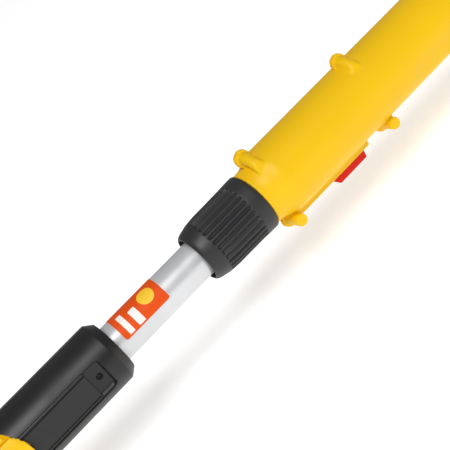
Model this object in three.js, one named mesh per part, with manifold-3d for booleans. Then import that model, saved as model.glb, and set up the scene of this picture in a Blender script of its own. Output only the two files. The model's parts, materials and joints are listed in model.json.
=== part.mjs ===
// A corded telescoping pole saw: a chain saw head on a slim tube that slides in a clamped outer tube,
// with a foam grip and a closed rear handle. Millimetres, +Z up, -X toward the saw, +X toward the handle.
import * as THREE from "three";
import { mergeVertices } from "three/addons/utils/BufferGeometryUtils.js";
import Module from "manifold-3d";

const wasm = await Module();
wasm.setup();

// ---- Driving dimensions -----------------------------------------------------------------------------

const GAP = 0.3; // clearance kept between touching pieces
const HALF_GAP = GAP / 2;
const SIDES = 24; // facets round a large tube
const FINE_SIDES = 12; // facets round a boss, pin or knob
const SCREW_SIDES = 6;
const FAR_AWAY = 2000; // well beyond the part, for cuts that run right through

const INNER_TUBE = { start: -188, end: 625, radius: 13.5, wall: 1.5 };
const OUTER_TUBE = { start: 30, end: 905, radius: 17, wall: 1.5 };
const LABEL = { start: -98.9, end: -60.7, clearance: 0.05, thickness: 0.2, from: -3, to: 173, steps: 11 };

const COLLAR = {
  start: -29.4,
  end: 25.4,
  lipRadius: 17.2,
  noseEnd: -27.6,
  noseRadius: 18.7,
  ribStart: -16,
  ribEnd: 17,
  ribRadius: 21.75,
  ribDepth: 1,
  ribs: 30,
  bandRadius: 22.1,
  boreRadius: 16.2,
  chamberStart: -24,
  chamberRadius: 18.7,
};

const HOUSING = { start: 26, end: 330, neckRadius: 21.25, radius: 25.85, wall: 2.5 };
const SPIGOT = { start: 0, radius: 18.2, bore: 15.7 };
const BOSS = {
  stations: [37.2, 132.1, 227, 321.9],
  offset: 27.2,
  farRadius: 6.1,
  farDepth: 2.6,
  nearRadius: 4.25,
  nearDepth: 14.8,
};
const PAD = { start: 42.8, end: 112.4, halfWidth: 8, top: 28 };
const BUTTON = {
  start: 75.4,
  end: 108.2,
  topStart: 78.9,
  topEnd: 106.4,
  halfWidth: 5,
  top: 34.6,
  pinX: 91.8,
  pinRadius: 3,
};

const NECK = { start: -105.6, fullFrom: -112, end: -206, endRadius: 16, radius: 22.4, wall: 2.5 };
const NECK_PANEL = { from: -133.2, level: 20.6, pocketFrom: -120.5, pocketLevel: 18.2, screwX: -125.6 };

const HEAD = {
  arch: -183,
  archRadius: 25,
  sleeveRadius: 24.6,
  bottom: -72,
  nearFace: -38,
  farFace: 29,
  wall: 2.6,
};
const MOTOR = { x: -262, z: -8, radius: 26, from: -31, to: 8 };
const GEARS = { module: 1.875, pinionTeeth: 8, gearTeeth: 24, from: 15, to: 21 };
const GEAR_PLATE = { from: 8.3, to: 11.3 };
const SPROCKET = { z: -8, radius: 14.5, rootRadius: 10.5, teeth: 7, from: 33, to: 39, shaftRadius: 4 };
const BAR = { y: 36, thickness: 4, halfHeight: 21, start: -322, tip: -604 };
const CHAIN = { depth: 5.6, thickness: 6.4, tooth: 2.6, pitch: 19 };
const COVER = { from: 30, to: 52, wall: 2.4 };
const STUD_X = -352;
const OIL_FILLER = { x: -352, z: -46 };

const HANDLE = { start: 862, end: 1085, halfWidth: 16, top: 27, bottom: -72, wall: 2.6 };
const TRIGGER = { x: 951, z: -3, pinRadius: 2 };
const FOAM = { start: 480, end: 720, radius: 22 };
const STRAP = {
  x: 410,
  halfLength: 9,
  radius: 21,
  eyeZ: -29,
  eye: 2.6,
  ringWire: 1.9,
  ringWidth: 14,
  screwZ: 27,
};
const LEAD = { start: -200, end: 600, radius: 3.5, coilStart: 712, coilEnd: 900, coilRadius: 9 };

const GEAR_DISTANCE = (GEARS.module * (GEARS.pinionTeeth + GEARS.gearTeeth)) / 2;
const SPROCKET_X = MOTOR.x - GEAR_DISTANCE;

const COLOURS = {
  yellow: { color: 0xf2c11c, roughness: 0.42, metalness: 0 },
  black: { color: 0x2b2b2d, roughness: 0.6, metalness: 0 },
  red: { color: 0xd8220f, roughness: 0.35, metalness: 0 },
  label: { color: 0xee5a26, roughness: 0.4, metalness: 0 },
  alloy: { color: 0xd3d5d8, roughness: 0.3, metalness: 1 },
  steel: { color: 0x9fa2a6, roughness: 0.35, metalness: 1 },
  dark_steel: { color: 0x55585c, roughness: 0.45, metalness: 1 },
  foam: { color: 0x1c1c1e, roughness: 0.95, metalness: 0 },
  grey: { color: 0x7c7f82, roughness: 0.6, metalness: 0 },
};

// ---- Solids -----------------------------------------------------------------------------------------

const X = new THREE.Vector3(1, 0, 0);
const Y = new THREE.Vector3(0, 1, 0);
const Z = new THREE.Vector3(0, 0, 1);

// Six times the volume that a triangle and the origin span.
function spanned(position, a, b, c) {
  const corner = (i) => new THREE.Vector3().fromBufferAttribute(position, i);
  return corner(a).dot(corner(b).cross(corner(c)));
}

// A closed geometry as a solid: corners merged, empty triangles dropped, faces turned outwards.
function solid(geometry) {
  const bare = geometry.clone();
  bare.deleteAttribute("normal");
  bare.deleteAttribute("uv");
  const merged = mergeVertices(bare, 1e-4);
  const position = merged.getAttribute("position");
  const corners = merged.index.array;
  const kept = [];
  let volume = 0;
  for (let i = 0; i < corners.length; i += 3) {
    const [a, b, c] = corners.slice(i, i + 3);
    if (a === b || b === c || c === a) continue;
    kept.push([a, b, c]);
    volume += spanned(position, a, b, c);
  }
  const outward = kept.map(([a, b, c]) => (volume < 0 ? [a, c, b] : [a, b, c]));
  const mesh = new wasm.Mesh({
    numProp: 3,
    vertProperties: new Float32Array(position.array),
    triVerts: new Uint32Array(outward.flat()),
  });
  return new wasm.Manifold(mesh);
}

function join(first, ...others) {
  return others.reduce((sum, next) => sum.add(next), first);
}

function cut(first, ...others) {
  return others.reduce((rest, next) => rest.subtract(next), first);
}

// A [x, radius] outline turned about the pole's axis.
function turned(outline, sides = SIDES) {
  const points = outline.map(([x, radius]) => new THREE.Vector2(radius, x));
  return solid(new THREE.LatheGeometry(points, sides).rotateZ(-Math.PI / 2));
}

function rod(start, end, radius, sides = SIDES) {
  return turned([[start, 0], [start, radius], [end, radius], [end, 0]], sides);
}

function pipe(start, end, outer, inner, sides = SIDES) {
  return cut(rod(start, end, outer, sides), rod(start - 1, end + 1, inner, sides));
}

// A round bar along Y at (x, z), or along Z at (x, y).
function barY(x, z, from, to, radius, sides = FINE_SIDES) {
  const geometry = new THREE.CylinderGeometry(radius, radius, to - from, sides);
  return solid(geometry.translate(x, (from + to) / 2, z));
}

function barZ(x, y, from, to, radius, sides = FINE_SIDES) {
  const geometry = new THREE.CylinderGeometry(radius, radius, to - from, sides);
  return solid(geometry.rotateX(Math.PI / 2).translate(x, y, (from + to) / 2));
}

function block(x0, x1, y0, y1, z0, z1) {
  const geometry = new THREE.BoxGeometry(x1 - x0, y1 - y0, z1 - z0);
  return solid(geometry.translate((x0 + x1) / 2, (y0 + y1) / 2, (z0 + z1) / 2));
}

// A shape drawn in X and Z, extruded along Y.
function slab(shape, from, to, curveSegments = 4) {
  const settings = { depth: to - from, bevelEnabled: false, curveSegments };
  const geometry = new THREE.ExtrudeGeometry(shape, settings);
  return solid(geometry.rotateX(Math.PI / 2).translate(0, to, 0));
}

// A shape drawn in X and Z, extruded along Y, its long edges rounded between two heights.
function softSlab(shape, from, to, low, high, radius, curveSegments = 4) {
  const across = roundedPolygon([
    [from, low, radius],
    [to, low, radius],
    [to, high, radius],
    [from, high, radius],
  ]);
  return slab(shape, from, to, curveSegments).intersect(section(across, -FAR_AWAY, FAR_AWAY, 2));
}

// A shape drawn in X and Y, extruded along Z.
function plan(shape, from, to, curveSegments = 3) {
  const settings = { depth: to - from, bevelEnabled: false, curveSegments };
  const geometry = new THREE.ExtrudeGeometry(shape, settings);
  return solid(geometry.translate(0, 0, from));
}

// A shape drawn in Y and Z, extruded along the pole.
function section(shape, from, to, curveSegments = 6) {
  const settings = { depth: to - from, bevelEnabled: false, curveSegments };
  const geometry = new THREE.ExtrudeGeometry(shape, settings);
  geometry.applyMatrix4(new THREE.Matrix4().makeBasis(Y, Z, X));
  return solid(geometry.translate(from, 0, 0));
}

function polygon(points) {
  return new THREE.Shape(points.map(([a, b]) => new THREE.Vector2(a, b)));
}

// A polygon of [a, b, radius] corners, each rounded by a curve that leaves some of every side straight.
function roundedPolygon(corners) {
  const shape = new THREE.Shape();
  const count = corners.length;
  const at = (i) => new THREE.Vector2(corners[(i + count) % count][0], corners[(i + count) % count][1]);
  corners.forEach(([, , radius], i) => {
    const here = at(i);
    const before = at(i - 1).sub(here);
    const after = at(i + 1).sub(here);
    const reach = Math.min(radius, 0.45 * before.length(), 0.45 * after.length());
    const enter = before.setLength(reach).add(here);
    const leave = after.setLength(reach).add(here);
    if (i === 0) shape.moveTo(enter.x, enter.y);
    else shape.lineTo(enter.x, enter.y);
    shape.quadraticCurveTo(here.x, here.y, leave.x, leave.y);
  });
  shape.closePath();
  return shape;
}

const nearSide = block(-FAR_AWAY, FAR_AWAY, -FAR_AWAY, -HALF_GAP, -FAR_AWAY, FAR_AWAY);
const farSide = block(-FAR_AWAY, FAR_AWAY, HALF_GAP, FAR_AWAY, -FAR_AWAY, FAR_AWAY);

const assembly = new THREE.Group();

function piece(name, body, finish) {
  const made = body.getMesh();
  const geometry = new THREE.BufferGeometry();
  geometry.setAttribute("position", new THREE.BufferAttribute(made.vertProperties, made.numProp));
  geometry.setIndex(new THREE.BufferAttribute(made.triVerts, 1));
  geometry.computeVertexNormals();
  const mesh = new THREE.Mesh(geometry, new THREE.MeshStandardMaterial(COLOURS[finish]));
  mesh.name = name;
  assembly.add(mesh);
}

// A pan-head screw along Y whose head's underside is at seat and whose shank ends at tip.
function screwY(x, z, seat, tip, headRadius = 3.4, shankRadius = 1.6) {
  const away = Math.sign(seat - tip);
  const crown = seat + away * 2.2;
  const inside = seat + away * 0.4;
  const head = barY(x, z, Math.min(seat, crown), Math.max(seat, crown), headRadius, 8);
  const shank = barY(x, z, Math.min(tip, inside), Math.max(tip, inside), shankRadius, SCREW_SIDES);
  return join(head, shank);
}

// A coil spring along Z, open at both ends, as one closed wire.
function springZ(x, y, from, to, radius, wire, turns) {
  const steps = turns * 8;
  const points = Array.from({ length: steps + 1 }, (_, i) => {
    const angle = (i / steps) * turns * 2 * Math.PI;
    const height = from + wire + ((to - from - 2 * wire) * i) / steps;
    return new THREE.Vector3(x + radius * Math.cos(angle), y + radius * Math.sin(angle), height);
  });
  const wireShape = new THREE.Shape().absarc(0, 0, wire, 0, 2 * Math.PI);
  const path = new THREE.CatmullRomCurve3(points);
  const options = { steps, extrudePath: path, curveSegments: 2, bevelEnabled: false };
  return solid(new THREE.ExtrudeGeometry(wireShape, options));
}

// ---- Tubes and what guides them ---------------------------------------------------------------------

const innerBore = INNER_TUBE.radius - INNER_TUBE.wall;
const outerBore = OUTER_TUBE.radius - OUTER_TUBE.wall;

function poleTube() {
  const tube = pipe(INNER_TUBE.start, INNER_TUBE.end, INNER_TUBE.radius, innerBore);
  const screwHole = barY(NECK_PANEL.screwX, 0, -FAR_AWAY, FAR_AWAY, 2.2, SCREW_SIDES);
  return cut(tube, screwHole);
}

function outerTube() {
  const tube = pipe(OUTER_TUBE.start, OUTER_TUBE.end, OUTER_TUBE.radius, outerBore);
  return cut(tube, barZ(BUTTON.pinX, 0, -FAR_AWAY, 0, BUTTON.pinRadius + 1.2));
}

// The plug that closes the inner tube's end and slides in the outer tube.
function tubeEndPlug() {
  const outline = [
    [INNER_TUBE.end - 22, innerBore - GAP],
    [INNER_TUBE.end + GAP, innerBore - GAP],
    [INNER_TUBE.end + GAP, outerBore - GAP],
    [INNER_TUBE.end + 12, outerBore - GAP],
    [INNER_TUBE.end + 14, outerBore - 2],
    [INNER_TUBE.end + 14, 8],
    [INNER_TUBE.end - 22, 8],
    [INNER_TUBE.end - 22, innerBore - GAP],
  ];
  return turned(outline, 24);
}

// The printed label wraps half round the inner tube, over its top.
function tubeLabel() {
  const inner = INNER_TUBE.radius + LABEL.clearance;
  const ring = pipe(LABEL.start, LABEL.end, inner + LABEL.thickness, inner);
  const points = [[0, 0]];
  for (let i = 0; i <= LABEL.steps; i += 1) {
    const turn = THREE.MathUtils.degToRad(LABEL.from + ((LABEL.to - LABEL.from) * i) / LABEL.steps);
    points.push([2 * INNER_TUBE.radius * Math.cos(turn), 2 * INNER_TUBE.radius * Math.sin(turn)]);
  }
  return ring.intersect(section(polygon(points), LABEL.start - 1, LABEL.end + 1));
}

// A tapered sleeve, slit from its nose, that the collar squeezes on the inner tube.
function colletSleeve() {
  const bore = INNER_TUBE.radius + GAP + HALF_GAP;
  const outline = [
    [-22, bore],
    [-22, 16.6],
    [-17, 17.6],
    [-6, 17.6],
    [-4, 15.2],
    [18, 15.2],
    [18, bore],
    [-22, bore],
  ];
  const slit = block(-30, 8, -0.8, 0.8, 0, 30);
  const slits = [0, 120, 240].map((angle) => slit.rotate([angle, 0, 0]));
  return cut(turned(outline, 24), ...slits);
}

function guideBush() {
  const bore = INNER_TUBE.radius + GAP;
  const outline = [
    [24, bore],
    [24, OUTER_TUBE.radius - 0.2],
    [OUTER_TUBE.start - GAP, OUTER_TUBE.radius - 0.2],
    [OUTER_TUBE.start - GAP, outerBore - GAP],
    [60, outerBore - GAP],
    [60, bore],
    [24, bore],
  ];
  return turned(outline, 24);
}

piece("pole_tube", poleTube(), "alloy");
piece("outer_tube", outerTube(), "alloy");
piece("tube_end_plug", tubeEndPlug(), "black");
piece("tube_label", tubeLabel(), "label");
piece("collet_sleeve", colletSleeve(), "black");
piece("guide_bush", guideBush(), "grey");

// ---- Twist collar -----------------------------------------------------------------------------------

function twistCollar() {
  const nose = turned([
    [COLLAR.start, 0],
    [COLLAR.start, COLLAR.lipRadius],
    [COLLAR.noseEnd, COLLAR.noseRadius],
    [COLLAR.ribStart, COLLAR.ribRadius - 0.2],
    [COLLAR.ribStart + 1, COLLAR.ribRadius - COLLAR.ribDepth],
    [COLLAR.ribStart + 1, 0],
  ], COLLAR.ribs);
  const band = rod(COLLAR.ribEnd, COLLAR.end, COLLAR.bandRadius, COLLAR.ribs);
  const flutes = Array.from({ length: 2 * COLLAR.ribs }, (_, i) => {
    const angle = (Math.PI * i) / COLLAR.ribs;
    const radius = COLLAR.ribRadius - (i % 2) * COLLAR.ribDepth;
    return [radius * Math.cos(angle), radius * Math.sin(angle)];
  });
  const ribbed = section(polygon(flutes), COLLAR.ribStart, COLLAR.ribEnd);
  const bore = rod(COLLAR.start - 1, COLLAR.end + 1, COLLAR.boreRadius);
  const chamber = rod(COLLAR.chamberStart, COLLAR.end + 1, COLLAR.chamberRadius);
  return cut(join(nose, ribbed, band), bore, chamber);
}

piece("twist_collar", twistCollar(), "black");

// ---- Clamp housing ----------------------------------------------------------------------------------

const shoulder = Array.from({ length: 4 }, (_, i) => {
  const turn = (i / 3) * (Math.PI / 2);
  const rise = HOUSING.radius - HOUSING.neckRadius;
  return [34 + 7 * Math.sin(turn), HOUSING.neckRadius + rise * (1 - Math.cos(turn))];
});

function housingBody() {
  const shell = turned([
    [HOUSING.start, 0],
    [HOUSING.start, HOUSING.neckRadius],
    ...shoulder,
    [HOUSING.end - 6, HOUSING.radius],
    [HOUSING.end, HOUSING.radius - 4],
    [HOUSING.end, 0],
  ]);
  const spigot = rod(SPIGOT.start, HOUSING.start + 1, SPIGOT.radius);
  const padShape = polygon([
    [PAD.start, -20],
    [PAD.start + 2, -PAD.top],
    [PAD.end - 3, -PAD.top],
    [PAD.end, -20],
  ]);
  const pad = slab(padShape, -PAD.halfWidth, PAD.halfWidth);
  return join(shell, spigot, pad);
}

// The housing's hollow: round chambers between ribs that hold the outer tube.
function housingHollow() {
  const inside = HOUSING.radius - HOUSING.wall;
  const grip = OUTER_TUBE.radius + GAP;
  const front = rod(SPIGOT.start - 1, 22, SPIGOT.bore);
  const tubeBore = rod(22, HOUSING.end + 1, grip);
  const [, second, third] = BOSS.stations;
  const chambers = [
    [42, second - 3],
    [second + 3, third - 3],
    [third + 3, HOUSING.end - 12],
  ].map(([start, end]) => rod(start, end, inside));
  return join(front, tubeBore, ...chambers);
}

function bossPair(station) {
  const sides = [-1, 1].map((side) => {
    const z = side * BOSS.offset;
    const far = barY(station, z, 0, BOSS.farDepth, BOSS.farRadius);
    const near = barY(station, z, -BOSS.nearDepth, 0, BOSS.nearRadius, 10);
    return join(far, near);
  });
  return join(...sides);
}

function bossHoles(station) {
  const sides = [-1, 1].map((side) => {
    const z = side * BOSS.offset;
    const shankHole = barY(station, z, 2 - BOSS.nearDepth, FAR_AWAY, 2.1, SCREW_SIDES);
    const headRoom = barY(station, z, BOSS.farDepth, FAR_AWAY, 4);
    return join(shankHole, headRoom);
  });
  return join(...sides);
}

const buttonSlot = block(
  BUTTON.start - GAP,
  BUTTON.end + GAP,
  -BUTTON.halfWidth - GAP,
  BUTTON.halfWidth + GAP,
  -FAR_AWAY,
  -OUTER_TUBE.radius - 2,
);
const bossRow = join(...BOSS.stations.map(bossPair));
const bossRowHoles = join(...BOSS.stations.map(bossHoles));
const housing = cut(join(housingBody(), bossRow), housingHollow(), bossRowHoles, buttonSlot);

piece("clamp_housing_near", housing.intersect(nearSide), "yellow");
piece("clamp_housing_far", housing.intersect(farSide), "yellow");
BOSS.stations.forEach((station, i) => {
  [1, -1].forEach((side, j) => {
    const screw = screwY(station, side * BOSS.offset, BOSS.farDepth + GAP, 3 - BOSS.nearDepth);
    piece("housing_screw_" + (2 * i + j + 1), screw, "steel");
  });
});

// ---- Red length button ------------------------------------------------------------------------------

function lengthButton() {
  const flangeFrom = -HOUSING.radius + HOUSING.wall + 1.4;
  const cap = slab(polygon([
    [BUTTON.start, flangeFrom],
    [BUTTON.start, -PAD.top],
    [BUTTON.topStart, -BUTTON.top],
    [BUTTON.topEnd, -BUTTON.top],
    [BUTTON.end, -PAD.top],
    [BUTTON.end, flangeFrom],
  ]), -BUTTON.halfWidth, BUTTON.halfWidth);
  const flange = block(BUTTON.start - 3, BUTTON.end + 3, -5.8, 5.8, flangeFrom - 0.2, flangeFrom + 1.2);
  const pin = barZ(BUTTON.pinX, 0, flangeFrom, -OUTER_TUBE.radius - 0.2, BUTTON.pinRadius, 12);
  return join(cap, flange, pin);
}

piece("length_button", lengthButton(), "red");
piece("button_spring", springZ(BUTTON.pinX, 0, -20.4, -17.4, 4.4, 0.45, 2), "steel");

// ---- Black neck -------------------------------------------------------------------------------------

function neckBody() {
  const outside = turned([
    [NECK.end, 0],
    [NECK.end, NECK.radius],
    [NECK.fullFrom, NECK.radius],
    [NECK.start - 1.6, NECK.endRadius + 2.2],
    [NECK.start, NECK.endRadius],
    [NECK.start, 0],
  ]);
  const tubeBore = rod(INNER_TUBE.start - GAP, NECK.start + 1, INNER_TUBE.radius + GAP);
  const leadBore = rod(NECK.end - 1, INNER_TUBE.start + 1, 9);
  const chambers = [[-182, -152], [-148, -134]].map(([start, end]) => rod(start, end, NECK.radius - 5.6));
  const width = 40;
  const panel = block(NECK.end - 1, NECK_PANEL.from, -width, -NECK_PANEL.level, -width, width);
  const pocketShape = roundedPolygon([
    [NECK_PANEL.from - 1, -12, 1],
    [NECK_PANEL.pocketFrom, -12, 4],
    [NECK_PANEL.pocketFrom, 12, 4],
    [NECK_PANEL.from - 1, 12, 1],
  ]);
  const pocket = slab(pocketShape, -width, -NECK_PANEL.pocketLevel, 3);
  const screwHole = barY(NECK_PANEL.screwX, 0, -width, width, 2, SCREW_SIDES);
  const farRecess = barY(NECK_PANEL.screwX, 0, NECK_PANEL.pocketLevel, width, 4.5, FINE_SIDES);
  return cut(outside, tubeBore, leadBore, ...chambers, panel, pocket, screwHole, farRecess);
}

const neck = neckBody();
piece("neck_shell_near", neck.intersect(nearSide), "black");
piece("neck_shell_far", neck.intersect(farSide), "black");
[-1, 1].forEach((side, i) => {
  const seat = side * (NECK_PANEL.pocketLevel + GAP);
  piece("neck_screw_" + (i + 1), screwY(NECK_PANEL.screwX, 0, seat, side * 12, 3.2), "dark_steel");
});

// ---- Saw head ---------------------------------------------------------------------------------------

const headOutline = roundedPolygon([
  [-206, -24.6, 0.5],
  [-222, -26, 8],
  [-244, HEAD.bottom, 14],
  [-372, HEAD.bottom, 12],
  [-392, -40, 14],
  [-392, 8, 20],
  [-352, 30, 24],
  [-290, 34, 24],
  [-232, 36, 20],
  [-206, 24.6, 0.5],
]);
const headHollowOutline = roundedPolygon([
  [-212, -21, 0.5],
  [-225, -23.5, 7],
  [-246.5, HEAD.bottom + HEAD.wall, 12],
  [-370.5, HEAD.bottom + HEAD.wall, 10],
  [-389, -39, 12],
  [-389, 7, 18],
  [-351, 27.2, 22],
  [-290, 31.2, 22],
  [-233, 33, 18],
  [-212, 21, 0.5],
]);

// The head seen from above: it widens from the neck, and its nose is rounded.
function headPlan(inset) {
  const near = HEAD.nearFace + inset;
  const far = HEAD.farFace - inset;
  return roundedPolygon([
    [-204, -24.6 + inset, 0.5],
    [-232, near, 16],
    [-392 + inset, near, 16],
    [-392 + inset, far, 12],
    [-232, far, 12],
    [-204, 24.6 - inset, 0.5],
  ]);
}

// The yellow sleeve that grips the neck, each side ending in a round arch.
function headSleeve() {
  const sleeve = rod(-212, HEAD.arch, HEAD.sleeveRadius);
  const archShape = new THREE.Shape();
  archShape.moveTo(-214, -HEAD.archRadius + 1.5);
  archShape.lineTo(HEAD.arch - 11, -HEAD.archRadius + 1.5);
  archShape.quadraticCurveTo(HEAD.arch, -16, HEAD.arch, 0);
  archShape.quadraticCurveTo(HEAD.arch, 16, HEAD.arch - 11, HEAD.archRadius - 1.5);
  archShape.lineTo(-214, HEAD.archRadius - 1.5);
  archShape.closePath();
  return sleeve.intersect(slab(archShape, -60, 60));
}

const headScrews = [[-228, 18], [-253, -59], [-380, -4]];

function headBody() {
  const bulk = softSlab(headOutline, HEAD.nearFace, HEAD.farFace, HEAD.bottom, 34, 14);
  const outside = join(bulk.intersect(plan(headPlan(0), -100, 100)), headSleeve());
  const room = softSlab(headHollowOutline, HEAD.nearFace, HEAD.farFace, HEAD.bottom + HEAD.wall, 31, 12);
  const hollow = room.intersect(plan(headPlan(HEAD.wall), -100, 100));
  const neckRoom = rod(NECK.end - GAP - 6, HEAD.arch + 1, NECK.radius + GAP);
  const shaftHole = barY(SPROCKET_X, SPROCKET.z, 20, FAR_AWAY, 5.4);
  const studHole = barY(STUD_X, SPROCKET.z, 20, FAR_AWAY, 3 + GAP, SCREW_SIDES);
  const capHole = barY(OIL_FILLER.x, OIL_FILLER.z, -FAR_AWAY, -20, 11 + GAP);
  const vents = Array.from({ length: 5 }, (_, i) => {
    const x = -244 - 9 * i;
    return block(x - 2, x + 2, -FAR_AWAY, -20, -20, 8);
  });
  const screwHoles = headScrews.map(([x, z]) => barY(x, z, -20, FAR_AWAY, 2, SCREW_SIDES));
  const wells = headScrews.map(([x, z]) => barY(x, z, HEAD.farFace - 4, FAR_AWAY, 4.2, 12));
  const posts = headScrews.map(([x, z]) => barY(x, z, HEAD.nearFace, HEAD.farFace, 5, 12));
  const hollowed = join(cut(outside, hollow), join(...posts).intersect(outside));
  return cut(hollowed, neckRoom, shaftHole, studHole, capHole, ...vents, ...screwHoles, ...wells);
}

const head = headBody();
piece("head_shell_near", head.intersect(nearSide), "yellow");
piece("head_shell_far", head.intersect(farSide), "yellow");
headScrews.forEach(([x, z], i) => {
  piece("head_screw_" + (i + 1), screwY(x, z, HEAD.farFace - 4 + GAP, -14), "steel");
});

// ---- Motor and gears --------------------------------------------------------------------------------

// A spur gear with straight-sided teeth, slightly thin so that a pair runs clear.
function gearShape(teeth, turnedBy) {
  const pitch = (GEARS.module * teeth) / 2;
  const root = pitch - 1.3 * GEARS.module;
  const tip = pitch + 0.8 * GEARS.module;
  const step = (2 * Math.PI) / teeth;
  const points = [];
  for (let i = 0; i < teeth; i += 1) {
    const corners = [[-0.3, root], [-0.13, tip], [0.13, tip], [0.3, root]];
    corners.forEach(([share, radius]) => {
      const angle = turnedBy + (i + share) * step;
      points.push([radius * Math.cos(angle), radius * Math.sin(angle)]);
    });
  }
  return polygon(points);
}

function motorCan() {
  const can = barY(MOTOR.x, MOTOR.z, MOTOR.from, MOTOR.to, MOTOR.radius, 20);
  const nose = barY(MOTOR.x, MOTOR.z, MOTOR.to - 1, MOTOR.to + 3.3, 12);
  const bore = barY(MOTOR.x, MOTOR.z, -FAR_AWAY, FAR_AWAY, 4.4);
  return cut(join(can, nose), bore);
}

function rotorShaft() {
  const shaft = barY(MOTOR.x, MOTOR.z, MOTOR.from - 3, GEARS.to + 2, 4);
  const pinion = slab(gearShape(GEARS.pinionTeeth, Math.PI), GEARS.from, GEARS.to);
  return join(shaft, pinion.translate([MOTOR.x, 0, MOTOR.z]));
}

function driveGear() {
  const halfTooth = Math.PI / GEARS.gearTeeth;
  const wheel = slab(gearShape(GEARS.gearTeeth, halfTooth), GEARS.from, GEARS.to);
  const hub = barY(0, 0, GEARS.from - 3, GEARS.from + 1, 8);
  const bore = barY(0, 0, -FAR_AWAY, FAR_AWAY, SPROCKET.shaftRadius + 0.1);
  return cut(join(wheel, hub), bore).translate([SPROCKET_X, 0, SPROCKET.z]);
}

// The sprocket and the shaft that it shares with the drive gear.
function sprocket() {
  const root = SPROCKET.rootRadius;
  const tip = SPROCKET.radius;
  const points = [];
  for (let i = 0; i < SPROCKET.teeth; i += 1) {
    const corners = [[-0.32, root], [-0.12, tip], [0.12, tip], [0.32, root]];
    corners.forEach(([share, radius]) => {
      const angle = ((i + share) * 2 * Math.PI) / SPROCKET.teeth;
      points.push([radius * Math.cos(angle), radius * Math.sin(angle)]);
    });
  }
  const wheel = slab(polygon(points), SPROCKET.from, SPROCKET.to);
  const shaft = barY(0, 0, -2, SPROCKET.to + 1, SPROCKET.shaftRadius);
  return join(wheel, shaft).translate([SPROCKET_X, 0, SPROCKET.z]);
}

// The plate behind the gears that centres the motor's nose and carries the inner bearing.
function gearPlate() {
  const shape = roundedPolygon([
    [SPROCKET_X - 14, MOTOR.z - 15, 5],
    [MOTOR.x + 22, MOTOR.z - 15, 5],
    [MOTOR.x + 22, MOTOR.z + 15, 5],
    [SPROCKET_X - 14, MOTOR.z + 15, 5],
  ]);
  const plate = slab(shape, GEAR_PLATE.from, GEAR_PLATE.to, 2);
  const noseHole = barY(MOTOR.x, MOTOR.z, 0, 20, 12 + GAP);
  const bearingHole = barY(SPROCKET_X, MOTOR.z, 0, 20, 8 + GAP);
  return cut(plate, noseHole, bearingHole);
}

function bearing(from, to, outer) {
  const ring = barY(SPROCKET_X, SPROCKET.z, from, to, outer);
  return cut(ring, barY(SPROCKET_X, SPROCKET.z, from - 1, to + 1, SPROCKET.shaftRadius + GAP));
}

piece("motor_can", motorCan(), "dark_steel");
piece("rotor_shaft", rotorShaft(), "steel");
piece("drive_gear", driveGear(), "grey");
piece("sprocket", sprocket(), "steel");
piece("gear_plate", gearPlate(), "steel");
piece("bearing_inner", bearing(GEAR_PLATE.from, GEAR_PLATE.to, 8), "steel");
piece("bearing_outer", bearing(22, 26, 9), "steel");

// ---- Bar, chain and oil -----------------------------------------------------------------------------

// The bar's outline, grown by an offset: straight rails, a round nose and a tapered tail.
function barOutline(grow, noseSteps) {
  const half = BAR.halfHeight + grow;
  const noseX = BAR.tip + BAR.halfHeight + CHAIN.depth + 1;
  const shape = new THREE.Shape();
  shape.moveTo(noseX, SPROCKET.z + half);
  for (let i = 1; i <= noseSteps; i += 1) {
    const turn = Math.PI / 2 + (i / noseSteps) * Math.PI;
    shape.lineTo(noseX + half * Math.cos(turn), SPROCKET.z + half * Math.sin(turn));
  }
  return shape;
}

function guideBar() {
  const shape = barOutline(0, 14);
  shape.lineTo(BAR.start - 18, SPROCKET.z - BAR.halfHeight);
  shape.lineTo(BAR.start, SPROCKET.z - 13);
  shape.lineTo(BAR.start, SPROCKET.z + 13);
  shape.lineTo(BAR.start - 18, SPROCKET.z + BAR.halfHeight);
  const half = BAR.thickness / 2;
  const plate = slab(shape, BAR.y - half, BAR.y + half);
  const slot = roundedPolygon([
    [-372, SPROCKET.z - 3.6, 2.5],
    [-334, SPROCKET.z - 3.6, 2.5],
    [-334, SPROCKET.z + 3.6, 2.5],
    [-372, SPROCKET.z + 3.6, 2.5],
  ]);
  return cut(plate, slab(slot, 0, 60, 2));
}

// The chain as one closed band round the bar's rails and the sprocket, with a cutter every two links.
function chainLoop(grow, noseSteps) {
  const shape = barOutline(grow, noseSteps);
  const half = BAR.halfHeight + grow;
  const back = SPROCKET.radius + grow;
  shape.lineTo(BAR.start - 20, SPROCKET.z - half);
  for (let i = 0; i <= noseSteps; i += 1) {
    const turn = -Math.PI / 2 + 0.12 + (i / noseSteps) * (Math.PI - 0.24);
    shape.lineTo(SPROCKET_X + back * Math.cos(turn), SPROCKET.z + back * Math.sin(turn));
  }
  shape.lineTo(BAR.start - 20, SPROCKET.z + half);
  return shape;
}

function sawChain() {
  const half = CHAIN.thickness / 2;
  const outer = slab(chainLoop(CHAIN.depth - CHAIN.tooth, 14), BAR.y - half, BAR.y + half);
  const inner = slab(chainLoop(GAP, 14), BAR.y - 10, BAR.y + 10);
  const cutters = [];
  for (let x = BAR.start - 30; x > BAR.tip + BAR.halfHeight + 12; x -= CHAIN.pitch) {
    [-1, 1].forEach((side) => {
      const rail = BAR.halfHeight + CHAIN.depth - CHAIN.tooth;
      const low = SPROCKET.z + side * (rail - 1);
      const high = SPROCKET.z + side * (rail + CHAIN.tooth);
      const tooth = polygon([[x - 5, low], [x - 4, high], [x + 5, low + side * 1.8], [x + 5, low]]);
      cutters.push(slab(tooth, BAR.y - half, BAR.y + half));
    });
  }
  return join(cut(outer, inner), ...cutters);
}

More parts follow.
